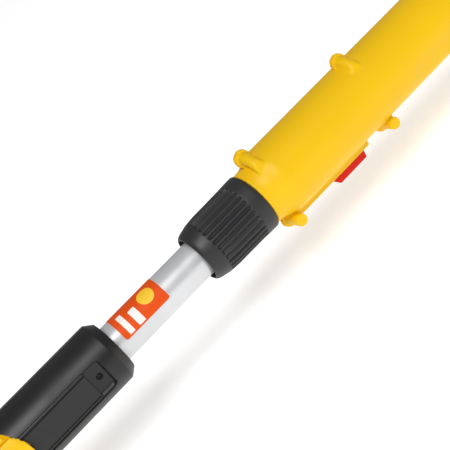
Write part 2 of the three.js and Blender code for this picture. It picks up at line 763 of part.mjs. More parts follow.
const coverOutline = roundedPolygon([
  [-260, -39, 20],
  [-260, 23, 20],
  [-388, 23, 14],
  [-398, -8, 6],
  [-388, -39, 14],
]);
const coverHollow = roundedPolygon([
  [-262.4, -36.6, 18],
  [-262.4, 20.6, 18],
  [-402, 20.6, 2],
  [-402, -36.6, 2],
]);

function sprocketCover() {
  const outside = slab(coverOutline, COVER.from - GAP / 2, COVER.to);
  const hollow = slab(coverHollow, 0, COVER.to - COVER.wall);
  const knobHole = barY(STUD_X, SPROCKET.z, 40, FAR_AWAY, 3.2 + GAP, 12);
  return cut(outside, hollow, knobHole);
}

function barStud() {
  const post = barY(STUD_X, SPROCKET.z, 20, COVER.to + 6, 3, SCREW_SIDES);
  const base = barY(STUD_X, SPROCKET.z, 20, HEAD.farFace - HEAD.wall - GAP, 8);
  return join(post, base);
}

function coverKnob() {
  const body = barY(STUD_X, SPROCKET.z, COVER.to + GAP, COVER.to + 9, 14, 20);
  const wingEnd = COVER.to + 15;
  const wing = block(STUD_X - 11, STUD_X + 11, COVER.to + 8, wingEnd, SPROCKET.z - 3, SPROCKET.z + 3);
  const bore = barY(STUD_X, SPROCKET.z, 0, COVER.to + 7, 3 + GAP, 12);
  return cut(join(body, wing), bore);
}

function oilTank() {
  const shape = roundedPolygon([
    [-300, -67, 5],
    [-368, -67, 9],
    [-384, -45, 5],
    [-384, -34, 3],
    [-300, -34, 3],
  ]);
  const hollow = roundedPolygon([
    [-302.5, -64.5, 4],
    [-367, -64.5, 7],
    [-381.5, -44, 4],
    [-381.5, -36.5, 2],
    [-302.5, -36.5, 2],
  ]);
  const body = slab(shape, -31, 24);
  const neckPipe = barY(OIL_FILLER.x, OIL_FILLER.z, -36, -30, 9.5);
  const mouth = barY(OIL_FILLER.x, OIL_FILLER.z, -60, -20, 7.5);
  return cut(join(body, neckPipe), slab(hollow, -28.5, 21.5), mouth);
}

function oilCap() {
  const cap = barY(OIL_FILLER.x, OIL_FILLER.z, HEAD.nearFace - 6, HEAD.nearFace - GAP, 13.5, 20);
  const plug = barY(OIL_FILLER.x, OIL_FILLER.z, HEAD.nearFace - 1, HEAD.nearFace + 8, 6.8);
  const { x, z } = OIL_FILLER;
  const grip = block(x - 10, x + 10, HEAD.nearFace - 9, HEAD.nearFace - 5, z - 2, z + 2);
  return join(cap, plug, grip);
}

piece("guide_bar", guideBar(), "steel");
piece("saw_chain", sawChain(), "dark_steel");
piece("sprocket_cover", sprocketCover(), "black");
piece("bar_stud", barStud(), "steel");
piece("cover_knob", coverKnob(), "red");
piece("oil_tank", oilTank(), "grey");
piece("oil_cap", oilCap(), "black");

// ---- Grip and strap ring ----------------------------------------------------------------------------

function foamGrip() {
  const bore = OUTER_TUBE.radius + 0.1;
  return turned([
    [FOAM.start, bore],
    [FOAM.start, FOAM.radius - 2],
    [FOAM.start + 3, FOAM.radius],
    [FOAM.end - 3, FOAM.radius],
    [FOAM.end, FOAM.radius - 2],
    [FOAM.end, bore],
    [FOAM.start, bore],
  ]);
}

function strapClamp() {
  const bore = OUTER_TUBE.radius + 0.1;
  const ring = pipe(STRAP.x - STRAP.halfLength, STRAP.x + STRAP.halfLength, STRAP.radius, bore);
  const lug = block(STRAP.x - 4, STRAP.x + 4, -5, 5, -34, -STRAP.radius + 1);
  const eye = rod(STRAP.x - 20, STRAP.x + 20, STRAP.eye, FINE_SIDES).translate([0, 0, STRAP.eyeZ]);
  const ears = block(STRAP.x - 6, STRAP.x + 6, -5, 5, STRAP.radius - 1, 32);
  const split = block(STRAP.x - 20, STRAP.x + 20, -0.8, 0.8, 0, 60);
  const hole = barY(STRAP.x, STRAP.screwZ, -20, 20, 2, SCREW_SIDES);
  return cut(join(ring, lug, ears), eye, split, hole);
}

// A closed D of round wire whose straight side runs through the lug's eye.
function strapRing() {
  const width = STRAP.ringWidth;
  const bar = rod(STRAP.x - width - 1, STRAP.x + width + 1, STRAP.ringWire, SCREW_SIDES);
  const points = Array.from({ length: 13 }, (_, i) => {
    const turn = Math.PI + (i / 12) * Math.PI;
    return new THREE.Vector3(STRAP.x + width * Math.cos(turn), 0, 1.3 * width * Math.sin(turn));
  });
  const wire = new THREE.Shape().absarc(0, 0, STRAP.ringWire, 0, 2 * Math.PI);
  const path = new THREE.CatmullRomCurve3(points);
  const options = { steps: 14, extrudePath: path, curveSegments: 4, bevelEnabled: false };
  const bow = new THREE.ExtrudeGeometry(wire, options);
  return join(bar, solid(bow)).translate([0, 0, STRAP.eyeZ]);
}

piece("foam_grip", foamGrip(), "foam");
piece("strap_clamp", strapClamp(), "black");
piece("strap_screw", screwY(STRAP.x, STRAP.screwZ, 5 + GAP, -6.5, 3.2), "steel");
piece("strap_ring", strapRing(), "steel");

// ---- Rear handle ------------------------------------------------------------------------------------

const handleOutline = roundedPolygon([
  [HANDLE.start + 50, 24, 10],
  [HANDLE.start + 80, HANDLE.top, 20],
  [HANDLE.end - 40, HANDLE.top, 30],
  [HANDLE.end, 12, 24],
  [HANDLE.end, -52, 20],
  [HANDLE.end - 22, HANDLE.bottom, 16],
  [HANDLE.start + 84, HANDLE.bottom, 16],
  [HANDLE.start + 62, -30, 12],
  [HANDLE.start + 50, -24, 6],
]);
const handOpening = roundedPolygon([
  [HANDLE.start + 78, -12, 9],
  [HANDLE.end - 30, -12, 14],
  [HANDLE.end - 24, -50, 12],
  [HANDLE.start + 96, -53, 12],
]);
const handleScrews = [
  [HANDLE.start + 54, -12],
  [HANDLE.end - 18, 2],
  [HANDLE.end - 16, -60],
  [HANDLE.start + 90, -63],
];

function handleBody() {
  const loop = softSlab(handleOutline, -HANDLE.halfWidth, HANDLE.halfWidth, HANDLE.bottom, HANDLE.top, 9);
  const socket = turned([
    [HANDLE.start, 0],
    [HANDLE.start, 22],
    [HANDLE.start + 3, 24],
    [HANDLE.start + 60, 24],
    [HANDLE.start + 72, 14],
    [HANDLE.start + 72, 0],
  ]);
  return join(loop, socket);
}

function handle() {
  const inside = HANDLE.halfWidth - HANDLE.wall - 1;
  const tubeBore = rod(HANDLE.start - 1, OUTER_TUBE.end + GAP, OUTER_TUBE.radius + GAP);
  const opening = slab(handOpening, -60, 60);
  const gripRoom = slab(roundedPolygon([
    [OUTER_TUBE.end - 1, -7, 2],
    [HANDLE.end - 34, -7, 8],
    [HANDLE.end - 10, -20, 6],
    [HANDLE.end - 10, 10, 8],
    [HANDLE.end - 40, HANDLE.top - 4, 12],
    [OUTER_TUBE.end - 1, HANDLE.top - 7, 8],
  ]), -inside, inside);
  const triggerSlot = block(TRIGGER.x - 6, TRIGGER.x + 44, -6, 6, -20, 0);
  const buttonHole = barY(TRIGGER.x - 8, 10, -60, 0, 5.4);
  const inletHole = rod(HANDLE.end - 16, HANDLE.end + 10, 6.5, 12).translate([0, 0, -8]);
  const pinBore = TRIGGER.pinRadius + 0.2;
  const pinHole = barY(TRIGGER.x, TRIGGER.z, -inside - 1.5, inside + 1.5, pinBore, SCREW_SIDES);
  const pinPosts = join(
    barY(TRIGGER.x, TRIGGER.z, -inside - 1, -6.6, 4.6, 12),
    barY(TRIGGER.x, TRIGGER.z, 6.6, inside + 1, 4.6, 12),
  );
  const posts = handleScrews.map(([x, z]) => barY(x, z, -inside, inside, 4.8, 12));
  const holes = handleScrews.map(([x, z]) => barY(x, z, -8, FAR_AWAY, 2, SCREW_SIDES));
  const wells = handleScrews.map(([x, z]) => barY(x, z, inside - 1, FAR_AWAY, 4.2, 12));
  const emptied = cut(handleBody(), opening, gripRoom, triggerSlot);
  const hollowed = join(emptied, pinPosts, ...posts.slice(1, 2));
  return cut(hollowed, tubeBore, buttonHole, inletHole, pinHole, ...holes, ...wells);
}

const rearHandle = handle();
piece("handle_shell_near", rearHandle.intersect(nearSide), "yellow");
piece("handle_shell_far", rearHandle.intersect(farSide), "yellow");
handleScrews.forEach(([x, z], i) => {
  const seat = HANDLE.halfWidth - HANDLE.wall - 2 + GAP;
  piece("handle_screw_" + (i + 1), screwY(x, z, seat, -6), "steel");
});

function trigger() {
  const shape = new THREE.Shape();
  shape.moveTo(-4, 2.5);
  shape.lineTo(-4, -4);
  shape.quadraticCurveTo(6, -10, 12, -22);
  shape.quadraticCurveTo(15, -27, 20, -27);
  shape.quadraticCurveTo(30, -20, 37, -3);
  shape.lineTo(37, 2.5);
  shape.closePath();
  const blade = slab(shape, -5.4, 5.4, 5).translate([TRIGGER.x, 0, TRIGGER.z]);
  return cut(blade, barY(TRIGGER.x, TRIGGER.z, -20, 20, TRIGGER.pinRadius + 0.1, SCREW_SIDES));
}

function switchBlock() {
  const body = block(TRIGGER.x + 12, TRIGGER.x + 40, -7, 7, 8, 19);
  const stem = barZ(TRIGGER.x + 33, 0, 5.5, 9, 2, SCREW_SIDES);
  return join(body, stem);
}

function lockOffButton() {
  const cap = barY(TRIGGER.x - 8, 10, -HANDLE.halfWidth - 4.5, -6, 5);
  const flange = barY(TRIGGER.x - 8, 10, -11.5, -10, 7);
  return join(cap, flange);
}

// The appliance inlet with its short ribbed boot; no cord is fitted.
function cordInlet() {
  const outline = [
    [HANDLE.end - 14, 0],
    [HANDLE.end - 14, 6.2],
    [HANDLE.end + 0.4, 6.2],
    [HANDLE.end + 0.4, 10],
    [HANDLE.end + 8, 10],
    [HANDLE.end + 24, 7.5],
    [HANDLE.end + 24, 0],
  ];
  const socket = rod(HANDLE.end + 6, HANDLE.end + 30, 4.6, 12);
  return cut(turned(outline, FINE_SIDES), socket).translate([0, 0, -8]);
}

piece("trigger", trigger(), "black");
piece("trigger_pin", barY(TRIGGER.x, TRIGGER.z, -13, 13, TRIGGER.pinRadius - 0.1, SCREW_SIDES), "steel");
piece("trigger_spring", springZ(TRIGGER.x + 22, 0, 0, 7.6, 3, 0.5, 3), "steel");
piece("switch_block", switchBlock(), "grey");
piece("lock_off_button", lockOffButton(), "black");
piece("cord_inlet", cordInlet(), "black");

// ---- Leads inside the tubes -------------------------------------------------------------------------

piece("coiled_lead", rod(LEAD.coilStart, LEAD.coilEnd, LEAD.coilRadius, FINE_SIDES), "black");
piece("head_lead", rod(LEAD.start, LEAD.end, LEAD.radius, SCREW_SIDES), "black");

// ---- The part's own frame: bottom of the box at its centre ------------------------------------------

const box = new THREE.Box3().setFromObject(assembly);
assembly.position.set(-(box.min.x + box.max.x) / 2, -(box.min.y + box.max.y) / 2, -box.min.z);

const part = new THREE.Group();
part.add(assembly);

export default part;
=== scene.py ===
"""Looks of a telescoping pole saw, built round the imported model.

Blender works in metres. The shapes here are in millimetres, in pole coordinates: x runs along the pole
from the collar toward the handle, y and z are measured from its axis, and the near side is at minus y.
"""
import json
from math import atan2, cos, degrees, pi, radians, sin, sqrt

import bmesh
import bpy
import numpy as np
from mathutils import Matrix, Vector


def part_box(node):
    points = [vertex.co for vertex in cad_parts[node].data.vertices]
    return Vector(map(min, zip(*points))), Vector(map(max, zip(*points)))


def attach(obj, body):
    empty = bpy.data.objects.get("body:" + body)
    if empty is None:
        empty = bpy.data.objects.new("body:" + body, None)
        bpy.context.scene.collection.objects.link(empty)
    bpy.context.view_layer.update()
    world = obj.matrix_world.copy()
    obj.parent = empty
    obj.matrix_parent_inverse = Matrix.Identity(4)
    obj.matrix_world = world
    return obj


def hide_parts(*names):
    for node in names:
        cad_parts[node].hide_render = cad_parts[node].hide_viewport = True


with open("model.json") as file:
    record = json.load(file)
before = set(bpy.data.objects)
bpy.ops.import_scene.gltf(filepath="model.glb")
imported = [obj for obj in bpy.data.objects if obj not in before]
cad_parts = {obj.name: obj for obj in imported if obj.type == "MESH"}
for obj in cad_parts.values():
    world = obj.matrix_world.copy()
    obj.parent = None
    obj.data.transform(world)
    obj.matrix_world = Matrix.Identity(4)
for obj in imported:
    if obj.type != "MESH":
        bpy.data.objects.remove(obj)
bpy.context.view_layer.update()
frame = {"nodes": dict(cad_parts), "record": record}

MM = 0.001

# ---- Pole coordinates ----

TUBE_LOW, TUBE_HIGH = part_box("pole_tube")
COLLAR_LOW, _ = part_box("twist_collar")
COLLAR_NOSE = -29.4
ORIGIN = Vector((
    COLLAR_LOW.x - COLLAR_NOSE * MM,
    (TUBE_LOW.y + TUBE_HIGH.y) / 2,
    (TUBE_LOW.z + TUBE_HIGH.z) / 2,
))


# ---- Camera and studio ----

VIEW_DISTANCE = 0.684
VIEW_LEVEL = Vector((-0.2334, -0.881, 0.411)).normalized()
POLE_OFFSET = 2.8 * MM
EXTRA_ROLL = 0.0105
LENS = 84
SKY_STRENGTH = 0.3
FLOOR_SIZE = 14
FLOOR_PAINT = 0.9
FLOOR_GLOW = 0.52


def new_object(name, data):
    made = bpy.data.objects.new(name, data)
    bpy.context.scene.collection.objects.link(made)
    return made


def make_camera():
    """Looks at the collar from the near side and above, rolled so that the pole climbs to the right."""
    along = Vector((1, 0, 0))
    along = (along - along.dot(VIEW_LEVEL) * VIEW_LEVEL).normalized()
    across = along.cross(VIEW_LEVEL)
    turn = cos(EXTRA_ROLL), sin(EXTRA_ROLL)
    pole_line = turn[0] * along + turn[1] * across
    pole_side = turn[0] * across - turn[1] * along
    right = (pole_line + pole_side).normalized()
    up = (pole_line - pole_side).normalized()
    data = bpy.data.cameras.new("camera")
    data.lens = LENS
    data.clip_start = 0.01
    data.clip_end = 50
    camera = new_object("camera", data)
    target = ORIGIN - pole_side * POLE_OFFSET
    rotation = Matrix((right, up, VIEW_LEVEL)).transposed()
    camera.matrix_world = Matrix.Translation(target + VIEW_LEVEL * VIEW_DISTANCE) @ rotation.to_4x4()
    bpy.context.scene.camera = camera


def area_light(name, direction, distance, size, power):
    """A round light, distance metres from the collar, that faces it."""
    data = bpy.data.lights.new(name, "AREA")
    data.shape = "DISK"
    data.size = size
    data.energy = power
    light = new_object(name, data)
    away = Vector(direction).normalized()
    light.location = ORIGIN + away * distance
    light.rotation_mode = "QUATERNION"
    light.rotation_quaternion = away.to_track_quat("Z", "Y")


def make_studio():
    bpy.context.scene.view_settings.view_transform = "Standard"
    world = bpy.data.worlds.new("studio")
    bpy.context.scene.world = world
    world.use_nodes = True
    set_inputs(world.node_tree.nodes["Background"], Color=(1, 1, 1, 1), Strength=SKY_STRENGTH)
    area_light("key", (-0.25, -0.57, 0.82), 4.2, 2.1, 118)
    area_light("side", (-0.5, -1, 0.2), 3.0, 1.6, 2.5)
    bpy.ops.mesh.primitive_plane_add(size=FLOOR_SIZE, location=(0, 0, 0))
    floor = bpy.context.object
    floor.name = "floor"
    paint = Finish("floor_paint", (FLOOR_PAINT,) * 3, 0.9)
    set_inputs(paint.shader, Emission_Color=(1, 1, 1, 1), Emission_Strength=FLOOR_GLOW)
    floor.data.materials.append(paint.material)


# ---- Materials ----


def rgb(red, green, blue):
    """A colour given in 0 to 255 display values, as linear light."""
    def linear(value):
        share = value / 255
        return share / 12.92 if share <= 0.04045 else ((share + 0.055) / 1.055) ** 2.4
    return linear(red), linear(green), linear(blue)


def set_inputs(node, **values):
    """Sets a node's inputs by name, with _ for a space."""
    for name, value in values.items():
        node.inputs[name.replace("_", " ")].default_value = value
    return node


class Finish:
    """A material being built: its node tree and the shader it ends in."""

    def __init__(self, name, colour, roughness, metallic=0.0):
        self.material = bpy.data.materials.new(name)
        self.material.use_nodes = True
        self.material.diffuse_color = (*colour, 1)
        self.nodes = self.material.node_tree.nodes
        self.links = self.material.node_tree.links
        self.shader = self.nodes["Principled BSDF"]
        set_inputs(self.shader, Base_Color=(*colour, 1), Roughness=roughness, Metallic=metallic)
        self.colour = colour
        self.normal = None

    def place(self, scale=(1, 1, 1)):
        """Object coordinates in millimetres, stretched by scale."""
        coordinates = self.nodes.new("ShaderNodeTexCoord")
        mapping = set_inputs(self.nodes.new("ShaderNodeMapping"), Scale=[s / MM for s in scale])
        self.links.new(coordinates.outputs["Object"], mapping.inputs["Vector"])
        return mapping.outputs["Vector"]

    def noise(self, per_mm, detail, scale=(1, 1, 1)):
        noise = set_inputs(self.nodes.new("ShaderNodeTexNoise"), Scale=per_mm, Detail=detail)
        self.links.new(self.place(scale), noise.inputs["Vector"])
        return noise.outputs["Fac"]

    def range(self, value, low, high, out_low, out_high):
        """Spreads the values between low and high over another range."""
        spread = self.nodes.new("ShaderNodeMapRange")
        set_inputs(spread, From_Min=low, From_Max=high, To_Min=out_low, To_Max=out_high)
        self.links.new(value, spread.inputs["Value"])
        return spread.outputs["Result"]

    def bump(self, height, strength, depth_mm):
        node = set_inputs(self.nodes.new("ShaderNodeBump"), Strength=strength, Distance=depth_mm * MM)
        self.links.new(height, node.inputs["Height"])
        if self.normal is not None:
            self.links.new(self.normal, node.inputs["Normal"])
        self.normal = node.outputs["Normal"]
        self.links.new(self.normal, self.shader.inputs["Normal"])

    def mottle(self, value, other, amount_low=0.35, amount_high=0.65):
        """Mixes the base colour with another where value is high."""
        mix = self.nodes.new("ShaderNodeMix")
        mix.data_type = "RGBA"
        mix.inputs[6].default_value = (*self.colour, 1)
        mix.inputs[7].default_value = (*other, 1)
        self.links.new(self.range(value, amount_low, amount_high, 0, 1), mix.inputs[0])
        self.links.new(mix.outputs[2], self.shader.inputs["Base Color"])

    def roughen(self, value, low, high):
        self.links.new(self.range(value, 0.3, 0.7, low, high), self.shader.inputs["Roughness"])


def shade(colour, factor):
    return tuple(min(1.0, c * factor) for c in colour)


def moulded(name, colour, rough_low, rough_high, grain, depth, variation=0.93, gloss=0.5):
    """Injection-moulded plastic: a fine spark-eroded grain, slow flow marks and uneven gloss."""
    finish = Finish(name, colour, rough_low)
    set_inputs(finish.shader, Specular_IOR_Level=gloss)
    finish.mottle(finish.noise(0.02, 4), shade(colour, variation))
    finish.roughen(finish.noise(0.06, 5), rough_low, rough_high)
    finish.bump(finish.noise(0.035, 2), 0.12, 0.5)
    finish.bump(finish.noise(grain, 2), 0.35, depth)
    return finish.material


def drawn_metal(name, colour, roughness, stretch, depth, metallic=1.0):
    """Metal with fine lines along one axis, faint scuffs and uneven polish."""
    finish = Finish(name, colour, roughness, metallic)
    finish.roughen(finish.noise(0.08, 4), roughness * 0.85, roughness * 1.25)
    finish.mottle(finish.noise(0.03, 5), shade(colour, 0.93))
    finish.bump(finish.noise(LINES_PER_MM, 3, stretch), 0.12, depth)
    return finish.material


def foam_skin(name, colour):
    """Closed-cell foam: pitted skin with lighter worn patches."""
    finish = Finish(name, colour, 0.9)
    finish.mottle(finish.noise(0.15, 6), shade(colour, 1.8), 0.45, 0.75)
    cells = set_inputs(finish.nodes.new("ShaderNodeTexVoronoi"), Scale=1.4)
    finish.links.new(finish.place(), cells.inputs["Vector"])
    finish.bump(cells.outputs["Distance"], 0.7, 0.25)
    return finish.material


LINES_PER_MM = 1.6
ALONG_POLE = (0.02, 1, 1)
ALONG_BAR = (0.03, 1, 1)
ROUND_GRIND = (1, 0.3, 1)


def make_materials():
    """Every finish by its slot, or by the name that a piece asks for in its look."""
    return {
        "yellow_plastic": moulded("yellow_moulding", rgb(240, 192, 0), 0.42, 0.5, 1.8, 0.03, 0.96, 0.28),
        "black_plastic": moulded("black_moulding", rgb(24, 24, 25), 0.36, 0.46, 1.5, 0.04, 0.8, 0.45),
        "red_plastic": moulded("red_moulding", rgb(220, 26, 0), 0.34, 0.42, 1.6, 0.02, 0.93, 0.2),
        "label_print": moulded("label_film", rgb(228, 80, 10), 0.45, 0.52, 3.0, 0.01, 0.95, 0.2),
        "label_yellow": moulded("label_yellow_ink", rgb(250, 200, 50), 0.42, 0.5, 3.0, 0.01, 0.95, 0.3),
        "label_white": moulded("label_white_ink", rgb(245, 238, 232), 0.4, 0.46, 3.0, 0.01, 0.97),
        "alloy_tube": drawn_metal("anodised_tube", rgb(217, 218, 220), 0.32, ALONG_POLE, 0.02, 0.45),
        "steel": drawn_metal("zinc_steel", rgb(186, 188, 192), 0.26, ROUND_GRIND, 0.02),
        "bar_steel": drawn_metal("ground_bar", rgb(178, 180, 184), 0.3, ALONG_BAR, 0.03),
        "chain_steel": drawn_metal("oiled_chain", rgb(112, 112, 114), 0.32, ROUND_GRIND, 0.03),
        "collar_plastic": moulded("collar_moulding", rgb(40, 40, 42), 0.42, 0.52, 1.5, 0.04, 0.85, 0.45),
        "dark_steel": drawn_metal("blackened_steel", rgb(50, 50, 53), 0.36, ROUND_GRIND, 0.03),
        "grey_plastic": moulded("grey_nylon", rgb(150, 152, 154), 0.5, 0.6, 1.2, 0.05),
        "rubber_black": moulded("soft_rubber", rgb(38, 38, 40), 0.6, 0.75, 0.9, 0.08, 0.7),
        "foam": foam_skin("foam_skin", rgb(34, 34, 36)),
    }


# ---- Surfaces from distance fields ----


def join(a, b, blend):
    """Inside either shape, with the corner between them filled over a width of blend."""
    share = np.clip(0.5 + 0.5 * (b - a) / blend, 0, 1)
    return b + (a - b) * share - blend * share * (1 - share)


def both(a, b, blend):
    """Inside both shapes, with the edge between them rounded."""
    return -join(-a, -b, blend)


def cut(a, b, blend):
    """Inside the first shape and outside the second."""
    return both(a, -b, blend)


def surface_net(values, low, step):
    """Vertices and quads of the zero surface of a sampled field."""
    inside = values < 0
    shape = values.shape
    owners, crossings, quads = [], [], []
    for axis in range(3):
        here = np.argwhere(np.diff(inside, axis=axis))
        there = here.copy()
        there[:, axis] += 1
        value_here = values[tuple(here.T)]
        value_there = values[tuple(there.T)]
        crossing = here.astype(float)
        crossing[:, axis] += value_here / (value_here - value_there)
        ring = []
        for step_one, step_two in ((0, 0), (-1, 0), (-1, -1), (0, -1)):
            cell = here.copy()
            cell[:, (axis + 1) % 3] += step_one
            cell[:, (axis + 2) % 3] += step_two
            ring.append(np.ravel_multi_index(cell.T, shape))
            owners.append(ring[-1])
            crossings.append(crossing)
        ring = np.stack(ring, 1)
        outward = value_here < 0
        ring[~outward] = ring[~outward][:, ::-1]
        quads.append(ring)
    owners = np.concatenate(owners)
    crossings = np.concatenate(crossings)
    cells, index = np.unique(owners, return_inverse=True)
    count = np.bincount(index)
    points = np.stack([np.bincount(index, crossings[:, k]) / count for k in range(3)], 1)
    return np.array(low) + points * step, np.searchsorted(cells, np.concatenate(quads))


def drawn_to_surface(field, points, step):
    """Moves points down the field's slope onto its zero surface."""
    step = np.min(step)
    reach = 0.1 * step
    for _ in range(4):
        value = field(*points.T)
        slope = np.empty_like(points)
        for axis, nudge in enumerate(np.eye(3) * reach):
            slope[:, axis] = (field(*(points + nudge).T) - field(*(points - nudge).T)) / (2 * reach)
        size = np.maximum((slope ** 2).sum(1), 0.05)
        move = slope * (value / size)[:, None]
        length = np.linalg.norm(move, axis=1)
        cap = np.minimum(1, 0.4 * step / np.maximum(length, 1e-9))
        points = points - move * cap[:, None]
    return points


def field_surface(field, low, high, step):
    """The zero surface of field(x, y, z) between two corners, in pole coordinates."""
    step = np.ones(3) * np.array(step)
    low = np.array(low, float) - 2 * step
    high = np.array(high, float) + 2 * step
    axes = [np.arange(a, b + s, s) for a, b, s in zip(low, high, step)]
    grid = np.meshgrid(*axes, indexing="ij", sparse=True)
    values = np.broadcast_to(field(*grid), [len(a) for a in axes]).copy()
    points, quads = surface_net(values, low, step)
    return drawn_to_surface(field, points, step), quads


def mesh_object(name, points, faces, crease=38):
    """An object from points in pole coordinates, smooth but for edges sharper than crease degrees."""
    mesh = bpy.data.meshes.new(name)
    placed = np.asarray(points, float) * MM + np.array(ORIGIN)
    mesh.from_pydata(placed.tolist(), [], [list(map(int, f)) for f in faces])
    mesh.validate()
    mesh.shade_smooth()
    mesh.set_sharp_from_angle(angle=radians(crease))
    return new_object(name, mesh)


def dress(made, body, slot, *nodes, look=None):
    """Gives a piece the material for its look, or else for its slot, and its body, and hides the CAD nodes
    that it stands for.
    """
    made.data.materials.clear()
    made.data.materials.append(MATERIALS[look or slot])
    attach(made, body)
    if nodes:
        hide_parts(*nodes)


def grown(name, body, slot, node, field, low, high, step, look=None):
    """A piece whose skin is the zero surface of a field between two corners, standing for a CAD node."""
    points, quads = field_surface(field, low, high, step)
    dress(mesh_object(name, points, quads), body, slot, node, look=look)


SEAM = 0.12
SHELL_WALL = 2.6


def grown_halves(name, body, slot, node, field, low, high, step):
    """A near and a far half shell, each stopping just short of the plane y = 0."""
    halves = (("_near", 1, low, (high[0], 1, high[2])), ("_far", -1, (low[0], -1, low[2]), high))
    for half, side, start, end in halves:
        def shell(x, y, z, side=side):
            return both(field(x, y, z), side * y + SEAM, 0.5)
        grown(name + half, body, slot, node + half, shell, start, end, step)


# ---- Distances to simple solids ----


def rod_x(x, y, z, start, end, radius, edge=0.6):
    return both(np.hypot(y, z) - radius, np.abs(x - (start + end) / 2) - (end - start) / 2, edge)


def rod_y(x, y, z, at_x, at_z, start, end, radius, edge=0.6):
    along = np.abs(y - (start + end) / 2) - (end - start) / 2
    return both(np.hypot(x - at_x, z - at_z) - radius, along, edge)


def rods_y(x, y, z, places, start, end, radius, edge):
    """The same rod at several (x, z) places."""
    distance = 1e9
    for at_x, at_z in places:
        distance = np.minimum(distance, rod_y(x, y, z, at_x, at_z, start, end, radius, edge))
    return distance


def rod_z(x, y, z, at_x, at_y, start, end, radius, edge=0.6):
    along = np.abs(z - (start + end) / 2) - (end - start) / 2
    return both(np.hypot(x - at_x, y - at_y) - radius, along, edge)


def brick(x, y, z, low, high, edge):
    """A box with its edges rounded to a radius."""
    outside = 0
    deepest = -1e9
    for value, a, b in zip((x, y, z), low, high):
        d = np.abs(value - (a + b) / 2) - (b - a) / 2 + edge
        outside = outside + np.maximum(d, 0) ** 2
        deepest = np.maximum(deepest, d)
    return np.sqrt(outside) + np.minimum(deepest, 0) - edge


def outline_distance(a, b, corners):
    """Signed distance from points (a, b) to a closed polygon."""
    nearest = 1e18
    crossings = 0
    for (a0, b0), (a1, b1) in zip(corners, corners[1:] + corners[:1]):
        edge_a, edge_b = a1 - a0, b1 - b0
        from_a, from_b = a - a0, b - b0
        share = np.clip((from_a * edge_a + from_b * edge_b) / (edge_a ** 2 + edge_b ** 2), 0, 1)
        gap = (from_a - edge_a * share) ** 2 + (from_b - edge_b * share) ** 2
        nearest = np.minimum(nearest, gap)
        spans = (b0 > b) != (b1 > b)
        height = edge_b if edge_b else 1e-9
        crossings = crossings + (spans & (from_a < edge_a * from_b / height))
    sign = np.where(crossings % 2 == 1, -1.0, 1.0)
    return sign * np.sqrt(nearest)


def band_faces(rings, sides, start=0, closed=False):
    """Quads between neighbouring rings of points, and from the last ring to the first where closed."""
    faces = []
    for i in range(rings if closed else rings - 1):
        a = start + i * sides
        b = start + (i + 1) % rings * sides
        faces += [(a + k, a + (k + 1) % sides, b + (k + 1) % sides, b + k) for k in range(sides)]
    return faces


def turned(name, outline, sides=96, centre=(0, 0, 0), ripple=None, crease=30, axis="x"):
    """A closed [x, radius] outline turned about x or y. ripple(x, radius, angle) is added to the radius."""
    outline = np.array(outline, float)
    angles = np.arange(sides) * 2 * np.pi / sides
    x = np.repeat(outline[:, :1], sides, 1)
    radius = np.repeat(outline[:, 1:], sides, 1)
    if ripple:
        radius = radius + ripple(x, radius, angles[None, :])
    points = np.stack([x, radius * np.cos(angles), radius * np.sin(angles)], -1).reshape(-1, 3)
    if axis == "y":
        points = points[:, [1, 0, 2]]
    faces = band_faces(len(outline), sides, closed=True)
    made = mesh_object(name, points + np.array(centre), faces, crease)
    face_outwards(made)
    return made


def face_outwards(made):
    """Turns every face of a closed piece outwards."""
    builder = bmesh.new()
    builder.from_mesh(made.data)
    bmesh.ops.recalc_face_normals(builder, faces=builder.faces)
    builder.to_mesh(made.data)
    builder.free()


# ---- Twist collar ----

FLUTES = 30
FLUTE_START = -18.8
FLUTE_END = 15.5
FLUTE_DEPTH = 1.7
FLUTE_HALF_WIDTH = 1.5


def smooth_step(value, low, high):
    share = np.clip((value - low) / (high - low), 0, 1)
    return share * share * (3 - 2 * share)


def make_collar():
    """A smooth barrel with a thin lip, round-ended flutes sunk in it and a stepped bore for the collet."""
    base = [
        (-23.5, 16.5), (-28.8, 16.5), (-29.15, 16.65), (-29.25, 16.9), (-29.15, 17.25), (-28.8, 17.8),
        (-28.0, 18.45), (-27.0, 18.95), (-25.5, 19.45), (-24.0, 19.8), (-22.6, 20.1), (-21.2, 20.45),
    ]
    stations = [-20, -12, 0, 13, 17, 21, 24.6]
    radii = [20.75, 21.5, 21.6, 21.75, 22.0, 22.12, 22.12]
    ends = [*np.arange(-20, -16, 0.4), *np.arange(-16, 13, 2.4), *np.arange(13, 17, 0.4), 19, 22, 24.6]
    base += [(x, float(np.interp(x, stations, radii))) for x in ends]
    base += [(25.1, 21.9), (25.4, 21.4), (25.4, 18.8), (25.1, 18.7), (-23.2, 18.7), (-23.5, 18.5)]
    middle = (FLUTE_START + FLUTE_END) / 2
    straight = (FLUTE_END - FLUTE_START) / 2 - FLUTE_HALF_WIDTH

    def flute(x, radius, angle):
        turn = (FLUTES * angle + np.pi) % (2 * np.pi) - np.pi
        across = turn / FLUTES * radius
        along = np.maximum(np.abs(x - middle) - straight, 0)
        inside = FLUTE_HALF_WIDTH - np.hypot(across, along)
        sunk = smooth_step(inside, -0.5, 1.4) * FLUTE_DEPTH
        return np.where(radius > 19, -sunk, 0)

    made = turned("collar_shell", base, FLUTES * 16, ripple=flute, crease=40)
    dress(made, "collar", "black_plastic", "twist_collar", look="collar_plastic")


# ---- Tubes, label, bushes ----


INNER_TUBE = (-188, 625, 13.5, 12)
OUTER_TUBE = (30, 905, 17, 15.5)


